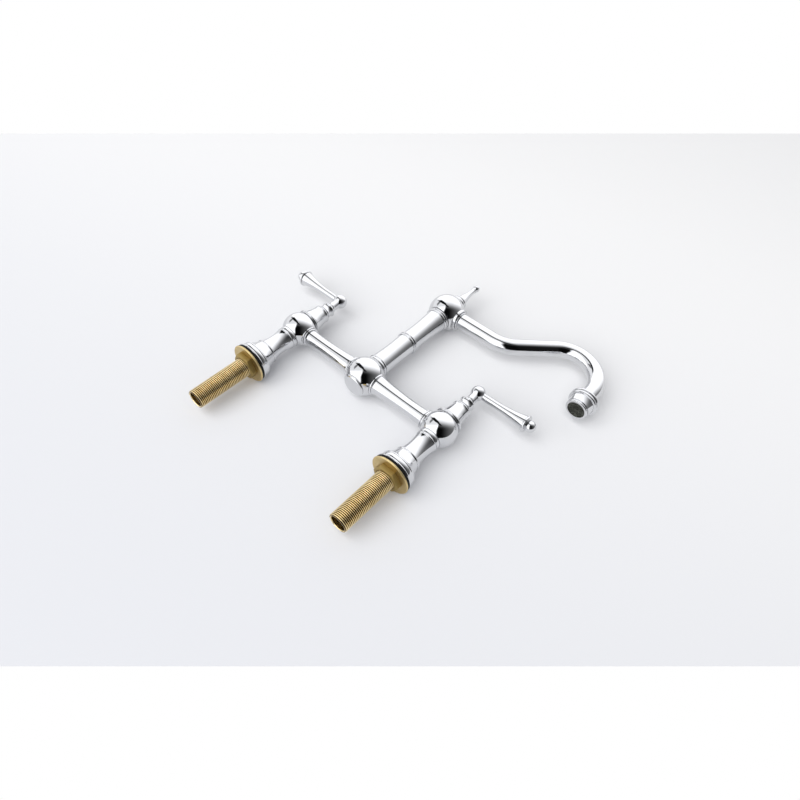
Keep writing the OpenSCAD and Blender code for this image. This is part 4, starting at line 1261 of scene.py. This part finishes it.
@dataclass
class Bridge:
    """Centre ball with its plug and the two arms to the valves."""

    ball_flat: float = 16.648
    arm_start: float = 18.648
    arm_end: float = 82.153
    plug_r: float = 13.2

    @property
    def foot(self) -> float:
        """Height of the flat under the centre ball, from the ball's middle."""
        return -math.sqrt(LEVELS.centre_ball**2 - self.plug_r**2)

    def build(self, shop: Workshop) -> None:
        """Build and place the bridge's pieces.

        Args:
            shop: workshop that dresses the pieces and hands them to the frame.
        """
        lv = LEVELS
        ball = Shell().turned(self.ball(), Seat((0, 0, lv.bridge)), FINE_AROUND).object("centre_ball")
        for side in Side:
            flat_cut(ball, (side.value * self.ball_flat, 0, lv.bridge), (side.value, 0, 0))
        shop.add(ball, Slot.CHROME, "body", "centre_ball")
        shop.turn("centre_plug", self.plug(), Seat((0, 0, lv.bridge + self.foot), (0, 0, -1)), "centre_plug")
        for side in Side:
            shop.turn(f"{side.label}_arm", self.arm(), self.along(side, self.arm_start), f"{side.node}_arm")
        self._pair(shop, "arm_rings", self.ring(), self.ball_flat)
        self._pair(shop, "arm_end_rings", two_rings(11.2, 4, 8.05, 0.5), self.arm_end)
        rings = Shell()
        for side in Side:
            rings.turned(Valve.ring(), lv.tap(side, lv.valve_top))
        shop.add(rings.object("valve_top_rings"), Slot.CHROME, "body", "valve_rings")

    def _pair(self, shop: Workshop, name: str, outline: Outline, distance: float) -> None:
        """Place the same ring on both arms as one piece.

        Args:
            shop: workshop that dresses the pieces and hands them to the frame.
            name: name of the CAD node.
            outline: the ring's edge.
            distance: how far each ring's foot is from the middle.
        """
        shell = Shell()
        for side in Side:
            shell.turned(outline, self.along(side, distance))
        shop.add(shell.object(f"bridge_{name}"), Slot.CHROME, "body", name)

    @staticmethod
    def along(side: Side, distance: float) -> Seat:
        """Seat on the bridge's axis, pointing away from its middle."""
        return Seat((side.value * distance, 0.0, LEVELS.bridge), (side.value, 0.0, 0.0))

    def ball(self) -> Outline:
        """Centre ball with flats below and above, and its water way.

        Returns:
            The piece's outline.
        """
        lv, foot = LEVELS, self.foot
        top = lv.riser_foot - lv.bridge
        low, high = foot + lv.spigot_h, top - lv.spigot_h
        return (
            Outline(lv.spigot_r, foot).to(self.plug_r, foot).dome(0, lv.centre_ball, lv.foot_ring_r, top)
            .to(lv.spigot_r, top).to(lv.spigot_r, high).to(lv.water_r, high).to(lv.water_r, low)
            .to(lv.spigot_r, low).to(lv.spigot_r, foot)
        )

    @staticmethod
    def plug() -> Outline:
        """Closing plug with a shallow dome, its axis pointing down.

        Returns:
            The piece's outline.
        """
        return (
            Outline(0, -4).to(9.0, -4).to(9.0, 0).to(12.75, 0, ease=0.1).bead(12.75, 1.9)
            .to(12.2, 2.2, ease=0.2).to(10.8, 2.9, swell=0.08, ease=0.3).to(0, 2.9)
        )

    @staticmethod
    def ring() -> Outline:
        """Single rounded ring beside the centre ball."""
        bore = LEVELS.spigot_r
        return Outline(bore, 0).to(12.35, 0, ease=0.1).bead(12.35, 2, ease=0.1).to(bore, 2)

    def arm(self) -> Outline:
        """Hollow arm with a step at its root.

        Returns:
            The piece's outline.
        """
        bore, length = 6.0, self.arm_end - self.arm_start
        return (
            Outline(bore, 0).to(10.9, 0, ease=0.08).to(10.9, 0.8, swell=0.4, ease=0.12)
            .to(10.8, 1.0, ease=0.05).to(10.5, 3.0, ease=0.3).to(8.9, length, swell=-1.15)
            .to(bore, length).to(bore, 0)
        )


@dataclass
class Riser:
    """Column between the centre ball and the swivelling spout."""

    foot_h: float = 5.5
    lower_h: float = 43.5
    middle_h: float = 5.0
    upper_h: float = 47.0
    top_h: float = 5.1

    def build(self, shop: Workshop) -> None:
        """Build and stack the column's pieces.

        Args:
            shop: workshop that dresses the pieces and hands them to the frame.
        """
        bore, z = LEVELS.spigot_r, LEVELS.riser_foot
        for name, outline, height in (
            ("riser_foot_ring", self.foot_ring(), self.foot_h),
            ("lower_riser", self.tube(12.6, 12.1, self.lower_h, 0.75), self.lower_h),
            ("riser_middle_ring", two_rings(13.2, self.middle_h, bore), self.middle_h),
            ("upper_riser", self.tube(12.1, 13.2, self.upper_h, 0.95), self.upper_h),
            ("riser_top_ring", two_rings(14.5, self.top_h, bore), self.top_h),
        ):
            shop.turn(f"column_{name}", outline, Seat((0, 0, z)), name, around=FINE_AROUND)
            z += height

    def foot_ring(self) -> Outline:
        """Unequal double ring at the column's foot.

        Returns:
            The piece's outline.
        """
        bore, top = LEVELS.spigot_r, self.foot_h
        return (
            Outline(bore, 0).to(13.15, 0, ease=0.12).bead(13.15, 3.08).to(12.7, 3.08, ease=0.1)
            .to(12.7, 3.78, ease=0.1).to(12.95, 3.78, ease=0.1).bead(12.95, top).to(bore, top)
        )

    @staticmethod
    def tube(foot: float, top: float, height: float, hollow: float) -> Outline:
        """Slightly hollow tube from radius foot to radius top."""
        bore = LEVELS.spigot_r
        return Outline(bore, 0).to(foot, 0).to(top, height, swell=-hollow).to(bore, height)


@dataclass
class Spout:
    """Swivelling spout: top ball, finial, collar, bent tube, end piece and outlet."""

    ball_r: float = 21.0
    ball_foot: float = 193.84
    foot_r: float = 15.2
    collar_r: float = 13.0
    finial_r: float = 10.2
    finial_ball: float = 4.2
    finial_middle: float = 38.9
    finial_neck: float = 2.5
    tube_r: float = 9.25
    tube_bore: float = 7.75
    tube_around: int = 64
    grip: float = 6.0
    lead: float = 0.5
    reach: float = 188.0
    arch_r: float = 38.0
    arch_top: float = 255.8
    arch_steps: int = 48
    rise_r: float = 42.0
    rise_deg: float = 41.0
    rise_steps: int = 16
    slope_steps: int = 6
    tube_end: float = 202.8
    outlet: float = 186.6
    housing_h: float = 11.2
    gauze_pitch: float = 1.2
    gauze_wire: float = 0.17
    gauze_r: float = 9.62
    gauze_lift: float = 0.36
    gauze_gap: float = 0.05
    gauze_around: int = 6
    gauze_steps: int = 8

    @property
    def axis_z(self) -> float:
        """Height of the top ball's middle."""
        return self.ball_foot + math.sqrt(self.ball_r**2 - self.foot_r**2)

    @property
    def collar_x(self) -> float:
        """Distance of the ball's side flat from its middle."""
        return math.sqrt(self.ball_r**2 - self.collar_r**2)

    @property
    def finial_z(self) -> float:
        """Height of the ball's upper flat, from the ball's middle."""
        return math.sqrt(self.ball_r**2 - self.finial_r**2)

    def build(self, shop: Workshop) -> None:
        """Build and place the spout's pieces.

        Args:
            shop: workshop that dresses the pieces and hands them to the frame.
        """
        ball = Shell().turned(self.ball(), Seat((0, 0, self.axis_z)), FINE_AROUND).object("spout_ball")
        flat_cut(ball, (self.collar_x, 0, self.axis_z), (1, 0, 0))
        shop.add(ball, Slot.CHROME, "spout", "top_ball")
        side = Seat((self.collar_x, 0, self.axis_z), (1, 0, 0))
        end = Seat((self.reach, 0, self.outlet + self.housing_h))
        for name, outline, seat, node in (
            ("finial_turned", self.finial(), Seat((0, 0, self.axis_z + self.finial_z)), "finial"),
            ("spout_foot_collar", self.collar(), side, "spout_collar"),
            ("spout_end_piece", self.end_piece(), end, "spout_end"),
            ("outlet_sleeve", self.housing(), Seat((self.reach, 0, self.outlet)), "outlet_housing"),
        ):
            shop.turn(name, outline, seat, node, "spout")
        shop.add(self.tube(), Slot.CHROME, "spout", "spout_tube")
        shop.add(self.gauze(), Slot.STEEL, "spout")

    def ball(self) -> Outline:
        """Top ball with flats below and above.

        Returns:
            The piece's outline.
        """
        foot, top = self.ball_foot - self.axis_z, self.finial_z
        hole, spigot, water = 5.05, LEVELS.spigot_r, LEVELS.water_r
        hole_h, spigot_h = 8.3, 8.28
        low, high = foot + spigot_h, top - hole_h
        return (
            Outline(spigot, foot).to(self.foot_r, foot).dome(0, self.ball_r, self.finial_r, top).to(hole, top)
            .to(hole, high).to(water, high).to(water, low).to(spigot, low).to(spigot, foot)
        )

    def finial(self) -> Outline:
        """Finial with two rings, a hollow cone, a collar and a ball.

        Returns:
            The piece's outline.
        """
        ball, middle, neck = self.finial_ball, self.finial_middle, self.finial_neck
        meet = middle - math.sqrt(ball**2 - neck**2)
        collar = meet - 2.2
        return (
            Outline(0, -8).to(5.0, -8).to(5.0, 0).to(9.75, 0, ease=0.12).bead(9.75, 3.6, ease=0.15)
            .to(8.3, 3.6, ease=0.12).to(8.3, 4.3, ease=0.1).to(8.75, 4.3, ease=0.1)
            .bead(8.75, 6.8, ease=0.15).to(7.7, 7.2, ease=0.15).to(3.0, collar, swell=-1.2, ease=0.15)
            .to(3.5, collar + 0.3, ease=0.12).to(3.5, collar + 1.2, ease=0.2).to(neck, collar + 1.6, ease=0.2)
            .to(neck, meet, ease=0.15).dome(middle, ball, 0, middle + ball)
        )

    @staticmethod
    def collar() -> Outline:
        """Ring and lip where the tube leaves the ball.

        Returns:
            The piece's outline.
        """
        bore = 9.3
        return (
            Outline(bore, 0).to(12.55, 0, ease=0.12).bead(12.55, 4.1, ease=0.15).to(10.1, 4.1, ease=0.12)
            .to(10.1, 4.6, ease=0.1).to(10.775, 4.6, ease=0.08).to(10.775, 5.7, swell=0.225, ease=0.1)
            .to(bore, 5.7)
        )

    def _path(self) -> list[Triple]:
        """Points of the tube's axis as (x, z, slope in radians).

        Returns:
            The points in order, from the ball to the outlet.
        """
        rise, arch, bend = math.radians(self.rise_deg), self.arch_r, self.rise_r
        arch_x, arch_z = self.reach - arch, self.arch_top - arch
        top_x, top_z = arch_x - arch * math.sin(rise), arch_z + arch * math.cos(rise)
        foot_z = self.axis_z + bend * (1 - math.cos(rise))
        foot_x = top_x - (top_z - foot_z) / math.tan(rise)
        rise_x = foot_x - bend * math.sin(rise)
        path = [(self.collar_x - self.grip, self.axis_z, 0.0), (rise_x - self.lead, self.axis_z, 0.0)]
        for i in range(self.rise_steps + 1):
            a = rise * i / self.rise_steps
            path.append((rise_x + bend * math.sin(a), self.axis_z + bend * (1 - math.cos(a)), a))
        for i in range(1, self.slope_steps):
            path.append((*between((foot_x, foot_z), (top_x, top_z), i / self.slope_steps), rise))
        for i in range(self.arch_steps + 1):
            a = rise - (rise + math.pi / 2) * i / self.arch_steps
            path.append((arch_x - arch * math.sin(a), arch_z + arch * math.cos(a), a))
        path.append((self.reach, self.tube_end, -math.pi / 2))
        return path

    def tube(self) -> bpy.types.Object:
        """Bent tube, open at both ends.

        Returns:
            The tube's object.
        """
        path = self._path()
        rows = []
        for k in range(self.tube_around):
            a = math.tau * k / self.tube_around
            row = []
            for r, places in ((self.tube_r, path), (self.tube_bore, path[::-1])):
                for x, z, slope in places:
                    up = r * math.sin(a)
                    point = (x - math.sin(slope) * up, r * math.cos(a), z + math.cos(slope) * up)
                    row.append(Vector(point) * MM)
            rows.append(row)
        shell = Shell()
        shell.grid(rows, True, True)
        return shell.object("spout_bent_tube", sharp=50)

    def end_piece(self) -> Outline:
        """End piece with two broad rings under a small cap.

        Returns:
            The piece's outline.
        """
        rim, cap, neck = 15.45, self.tube_r + 3.6, self.tube_r + 0.9
        groove, bore, step, recess = rim - 0.9, 9.3, 5.0, 11.2
        return (
            Outline(recess, 0).to(14.0, 0, ease=0.15).to(rim, 0.4, ease=0.12).bead(rim, 3.4)
            .to(groove, 3.4, ease=0.1).to(groove, 4.1, ease=0.1).to(rim, 4.1, ease=0.12)
            .bead(rim, 7.1, ease=0.15).to(cap, 7.3, ease=0.12).to(cap, 7.8, ease=0.15)
            .to(self.tube_r + 2.9, 8.0, ease=0.12).to(neck, 10.8, swell=0.4, ease=0.15).to(bore, 10.8)
            .to(bore, step).to(self.tube_bore, step).to(self.tube_bore, 3.4).to(recess, 3.4).to(recess, 0)
        )

    def housing(self) -> Outline:
        """Outlet sleeve with its rim and a bore for the gauze.

        Returns:
            The piece's outline.
        """
        mouth, bore, spigot, top, recess = 9.7, 10.25, 11.15, 13.6, 0.7
        return (
            Outline(mouth, 0).to(11.75, 0, ease=0.3).bead(11.75, 2.4).to(11.5, 2.4, ease=0.06)
            .to(11.5, 3.1, ease=0.1).to(12.4, 3.1, ease=0.15).to(13.6, self.housing_h, swell=-0.25, ease=0.12)
            .to(spigot, self.housing_h).to(spigot, top).to(bore, top).to(bore, recess).to(mouth, recess)
            .to(mouth, 0.12)
        )

    def gauze(self) -> bpy.types.Object:
        """Woven wire gauze in the outlet's mouth.

        Returns:
            The gauze's object.
        """
        count = int(self.gauze_r / self.gauze_pitch)
        shell = Shell()
        for across in (False, True):
            for i in range(-count, count + 1):
                self._strand(shell, i, across)
        return shell.object("outlet_gauze", sharp=70)

    def _strand(self, shell: Shell, index: int, across: bool) -> None:
        """Add one wavy wire of the gauze.

        Args:
            shell: mesh of the gauze.
            index: the wire's number, counted from the middle.
            across: whether the wire runs along Y instead of X.
        """
        pitch, wire, level = self.gauze_pitch, self.gauze_wire, self.outlet + self.gauze_lift
        offset = index * pitch
        half = math.sqrt(self.gauze_r**2 - offset**2) - self.gauze_gap
        steps = max(self.gauze_steps, int(half / pitch * self.gauze_steps))
        phase = index + int(across)
        rows = []
        for k in range(self.gauze_around):
            a = math.tau * k / self.gauze_around
            row = []
            for j in range(steps + 1):
                s = -half + 2 * half * j / steps
                side = offset + wire * math.cos(a)
                height = level + wire * math.cos(math.pi * (s / pitch + phase)) + wire * math.sin(a)
                x, y = (side, s) if across else (s, side)
                row.append(Vector((self.reach + x, y, height)) * MM)
            rows.append(row)
        base = len(shell.points)
        shell.grid(rows, True, False)
        shell.faces.append(tuple(base + k * (steps + 1) for k in range(self.gauze_around)))
        shell.faces.append(tuple(base + k * (steps + 1) + steps for k in reversed(range(self.gauze_around))))


# The stage


@dataclass(frozen=True)
class Shot:
    """The photograph's camera: its place in metres, its axes and its focal length in pixels."""

    place: Triple = (0.29524, -0.48043, -0.23242)
    right: Triple = (0.74611, -0.03851, 0.66471)
    down: Triple = (0.53384, 0.63122, -0.56265)
    focal_px: float = 606.1
    width_px: float = 800.0
    sensor: float = 36.0
    nearest: float = 0.01
    farthest: float = 20.0

    def axes(self) -> tuple[Vector, Vector, Vector]:
        """Right, up and towards the camera, square to each other.

        Returns:
            The three unit vectors.
        """
        right, down = Vector(self.right).normalized(), Vector(self.down)
        up = -(down - right * down.dot(right)).normalized()
        return right, up, right.cross(up)

    def on_floor(self, x_px: float, y_px: float, floor_y: float) -> Vector:
        """Point of the floor that a pixel shows.

        Args:
            x_px: pixels from the picture's left edge.
            y_px: pixels from its top edge.
            floor_y: the floor's place along Y, in metres.

        Returns:
            The point, in metres.
        """
        right, up, toward = self.axes()
        half = self.width_px / 2
        ray = right * ((x_px - half) / self.focal_px) - up * ((y_px - half) / self.focal_px) - toward
        place = Vector(self.place)
        return place + ray * ((floor_y - place.y) / ray.y)


@dataclass(frozen=True)
class StudioMap:
    """Brightness of the photographer's studio by direction.

    The studio is laid out as a chrome ball beside the camera would show it: a place across and up the ball,
    each from -1 to 1, stands for one direction. The near side lies left of a border that becomes a slanting
    seam higher up, and the open side right of it.
    """

    border: Ramp = (-0.1, 0.25, -0.19, -0.09)
    border_edge: Ramp = (-0.04, 0.04)
    seam_edge: Ramp = (0.27, 0.33)
    seam_start: Ramp = (0.25, 0.31)
    open_slope: float = 0.2
    open_rise: Ramp = (-0.05, 0.57)
    open_power: float = 2.6
    open_gloom: Ramp = (0.04, 0.85, 0.003, 0.22)
    open_level: float = 1.62
    panel_left: Ramp = (-0.8, -0.68)
    panel_top: Ramp = (0.3, 0.18)
    panel_level: float = 1.85
    near_level: float = 1.13
    line_at: float = 0.27
    line_edge: Ramp = (0.075, 0.045)
    line_spread: Ramp = (0.34, 0.42, 0.0, 0.04)
    line_foot: Ramp = (0.16, 0.24)
    line_top: Ramp = (0.66, 0.6)
    bar_at: float = 0.85
    bar_slope: float = 0.9
    bar_edge: Ramp = (0.09, 0.04)
    bar_left: Ramp = (-0.56, -0.48)
    bar_right: Ramp = (-0.26, -0.32)
    bar_weight: float = 0.8
    dark_level: float = 0.01
    floor_way: Triple = (0.0, 1.0, 0.0)
    floor_edge: Ramp = (-0.01, 0.01)
    floor_level: float = 0.88

    def brightness(self, g: Graph, axes: tuple[Vector, Vector, Vector]) -> Socket:
        """Build the map.

        Args:
            g: graph of the world.
            axes: right, up and towards the camera, as the photograph has them.

        Returns:
            Socket of the brightness.
        """
        way = g.node("TexCoord").outputs["Generated"]
        across, up = self._on_ball(g, way, axes)
        diagonal = g.math("ADD", across, up)
        border = g.math("SUBTRACT", across, g.step(up, *self.border))
        is_open = g.blend(
            g.step(up, *self.seam_start), g.step(border, *self.border_edge), g.step(diagonal, *self.seam_edge)
        )
        tilted = g.math("ADD", up, g.product(across, self.open_slope))
        rise = g.math("POWER", g.step(tilted, *self.open_rise), self.open_power)
        open_side = g.blend(rise, g.step(across, *self.open_gloom), self.open_level)
        panel = g.product(g.step(across, *self.panel_left), g.step(up, *self.panel_top))
        near_side = g.blend(panel, self.near_level, self.panel_level)
        level = g.blend(is_open, near_side, open_side)
        level = g.blend(self._dark(g, across, up, diagonal), level, self.dark_level)
        return g.blend(g.step(g.facing(way, self.floor_way), *self.floor_edge), level, self.floor_level)

    @staticmethod
    def _on_ball(g: Graph, way: Socket, axes: tuple[Vector, Vector, Vector]) -> tuple[Socket, Socket]:
        """Place across and up the ball where a direction shows.

        Args:
            g: graph of the world.
            way: socket of the direction.
            axes: right, up and towards the camera.

        Returns:
            Sockets of the places across and up.
        """
        least = 0.01
        right, up, toward = axes
        depth = g.math("ADD", g.product(g.facing(way, toward), 2.0), 2.0)
        depth = g.math("POWER", g.math("MAXIMUM", depth, least), 0.5)
        return g.math("DIVIDE", g.facing(way, right), depth), g.math("DIVIDE", g.facing(way, up), depth)

    def _dark(self, g: Graph, across: Socket, up: Socket, diagonal: Socket) -> Socket:
        """Share of the dark line along the seam and of the dark bar at the upper left.

        Args:
            g: graph of the world.
            across: socket of the place across the ball.
            up: socket of the place up the ball.
            diagonal: socket of the sum of both.

        Returns:
            Socket of the share, from 0 to 1.
        """
        off_line = g.math("ABSOLUTE", g.math("SUBTRACT", diagonal, self.line_at))
        off_line = g.math("SUBTRACT", off_line, g.step(up, *self.line_spread))
        line = g.product(
            g.step(off_line, *self.line_edge), g.step(up, *self.line_foot), g.step(up, *self.line_top)
        )
        off_bar = g.math("SUBTRACT", g.math("SUBTRACT", up, g.product(across, self.bar_slope)), self.bar_at)
        bar = g.product(
            g.step(g.math("ABSOLUTE", off_bar), *self.bar_edge),
            g.step(across, *self.bar_left),
            g.step(across, *self.bar_right),
            self.bar_weight,
        )
        return g.math("MAXIMUM", line, bar)


@dataclass
class Studio:
    """Floor, world, lamp and camera as the photograph has them; lengths in metres."""

    shot: Shot = field(default_factory=Shot)
    reflected: StudioMap = field(default_factory=StudioMap)
    mirror_tint: Triple = (0.985, 0.992, 1.01)
    even_light: Triple = (0.98, 0.985, 1.0)
    ambient: float = 0.46
    floor_y: float = 0.02185
    sheet_top_px: float = 133.5
    sheet_bottom_px: float = 666.3
    sheet_margin_px: float = 400.0
    # The floor's colour carries painted shade: it goes from floor_lit to floor_shaded along floor_axis.
    floor_shaded: Triple = (0.79, 0.8, 0.835)
    floor_lit: Triple = (0.99, 0.99, 0.995)
    floor_axis: Triple = (-0.22, 0.0, 0.976)
    floor_shade: Ramp = (-0.36, 0.56)
    floor_roughness: float = 0.75
    floor_gloss: float = 0.1
    lamp_power: float = 170.0
    lamp_size: float = 5.0
    lamp_distance: float = 4.0
    lamp_way: Triple = (-0.12, -1.0, -0.8)
    lamp_target: Triple = (0.06, 0.0, 0.1)

    def build(self) -> None:
        """Set the stage."""
        self._camera()
        self._floor()
        self._world()
        self._lamp()
        bpy.context.scene.view_settings.view_transform = "Standard"

    def _camera(self) -> None:
        """Camera at the photograph's place, rolled as the photograph is."""
        shot = self.shot
        data = bpy.data.cameras.new("photo_camera")
        data.sensor_width, data.clip_start, data.clip_end = shot.sensor, shot.nearest, shot.farthest
        data.lens = shot.focal_px * shot.sensor / shot.width_px
        camera = bpy.data.objects.new("photo_camera", data)
        turn = Matrix(shot.axes()).transposed().to_4x4()
        camera.matrix_world = Matrix.Translation(Vector(shot.place)) @ turn
        bpy.context.scene.collection.objects.link(camera)
        bpy.context.scene.camera = camera

    def _floor(self) -> None:
        """Pale sheet behind the tap, which lies on its back, with painted shade that darkens it towards -Z;
        it can't be seen from behind.
        """
        left, right = -self.sheet_margin_px, self.shot.width_px + self.sheet_margin_px
        low, high = self.sheet_bottom_px, self.sheet_top_px
        spots = [(left, low), (right, low), (right, high), (left, high)]
        mesh = bpy.data.meshes.new("floor")
        mesh.from_pydata([self.shot.on_floor(x, y, self.floor_y) for x, y in spots], [], [(0, 1, 2, 3)])
        if mesh.polygons[0].normal.y > 0:
            mesh.flip_normals()
        floor = bpy.data.objects.new("floor", mesh)
        bpy.context.scene.collection.objects.link(floor)
        material = bpy.data.materials.new("pale_floor")
        g = Graph.of(material)
        along = g.facing(g.node("TexCoord").outputs["Object"], self.floor_axis)
        shader = g.node("BsdfPrincipled", {
            # Painted shade: the floor darkens towards -Z, where the light would fall off.
            "Base Color": g.tint(g.step(along, *self.floor_shade), self.floor_shaded, self.floor_lit),
            "Roughness": self.floor_roughness,
            "Specular IOR Level": self.floor_gloss,
        })
        clear = g.node("BsdfTransparent").outputs["BSDF"]
        behind = g.node("NewGeometry").outputs["Backfacing"]
        g.node("OutputMaterial", {"Surface": g.either(behind, shader.outputs["BSDF"], clear)})
        mesh.materials.append(material)

    def _world(self) -> None:
        """Studio in reflections, even light on matt surfaces and white before the camera."""
        world = bpy.data.worlds.new("studio")
        bpy.context.scene.world = world
        g = Graph.of(world)
        level = self.reflected.brightness(g, self.shot.axes())
        tinted = {axis: g.product(level, share) for axis, share in zip("XYZ", self.mirror_tint)}
        mirrored = g.glow(g.node("CombineXYZ", tinted).outputs["Vector"], 1.0)
        even = g.glow((*self.even_light, 1.0), self.ambient)
        path = g.node("LightPath").outputs
        unseen = g.either(path["Is Glossy Ray"], even, mirrored)
        g.node("OutputWorld", {"Surface": g.either(path["Is Camera Ray"], unseen, g.glow(WHITE, 1.0))})

    def _lamp(self) -> None:
        """One large soft lamp from the user's side and from below the deck, unseen in the plating."""
        data = bpy.data.lights.new("key_panel", "AREA")
        data.shape, data.energy = "RECTANGLE", self.lamp_power
        data.size = data.size_y = self.lamp_size
        lamp = bpy.data.objects.new("key_panel", data)
        target = Vector(self.lamp_target)
        lamp.location = target + Vector(self.lamp_way).normalized() * self.lamp_distance
        lamp.rotation_euler = (target - lamp.location).to_track_quat("-Z", "Y").to_euler()
        lamp.visible_glossy = False
        bpy.context.scene.collection.objects.link(lamp)


def dress_inner_nodes(book: FinishBook) -> None:
    """Give each CAD node that stays in view its finish.

    Args:
        book: the finishes.
    """
    slots = {
        Slot.BRASS: ("left_cartridge", "right_cartridge", "left_spindle", "right_spindle", "swivel_stem"),
        Slot.RUBBER: (
            "cartridge_seat_seals", "left_spindle_seal", "right_spindle_seal", "arm_seals", "stem_seals",
            "outlet_washer",
        ),
        Slot.CERAMIC: ("fixed_discs", "left_turning_disc", "right_turning_disc"),
        Slot.PLASTIC: ("thrust_washer", "flow_insert"),
        Slot.STEEL: ("outlet_mesh", "left_grub_screw", "right_grub_screw"),
    }
    for slot, names in slots.items():
        for name in names:
            book.dress_node(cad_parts[name], slot)
    LOG.info("%d inner nodes dressed", sum(len(names) for names in slots.values()))


def main() -> None:
    """Build the mixer and its stage."""
    logging.basicConfig(level=logging.INFO, format="%(name)s: %(message)s")
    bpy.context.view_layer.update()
    Studio().build()
    book = FinishBook()
    shop = Workshop(book)
    for side in Side:
        TapFoot(side).build(shop)
        Valve(side).build(shop)
        LeverHandle(side).build(shop)
    Bridge().build(shop)
    Riser().build(shop)
    Spout().build(shop)
    dress_inner_nodes(book)
    bpy.context.view_layer.update()


if __name__ == "__main__":
    main()
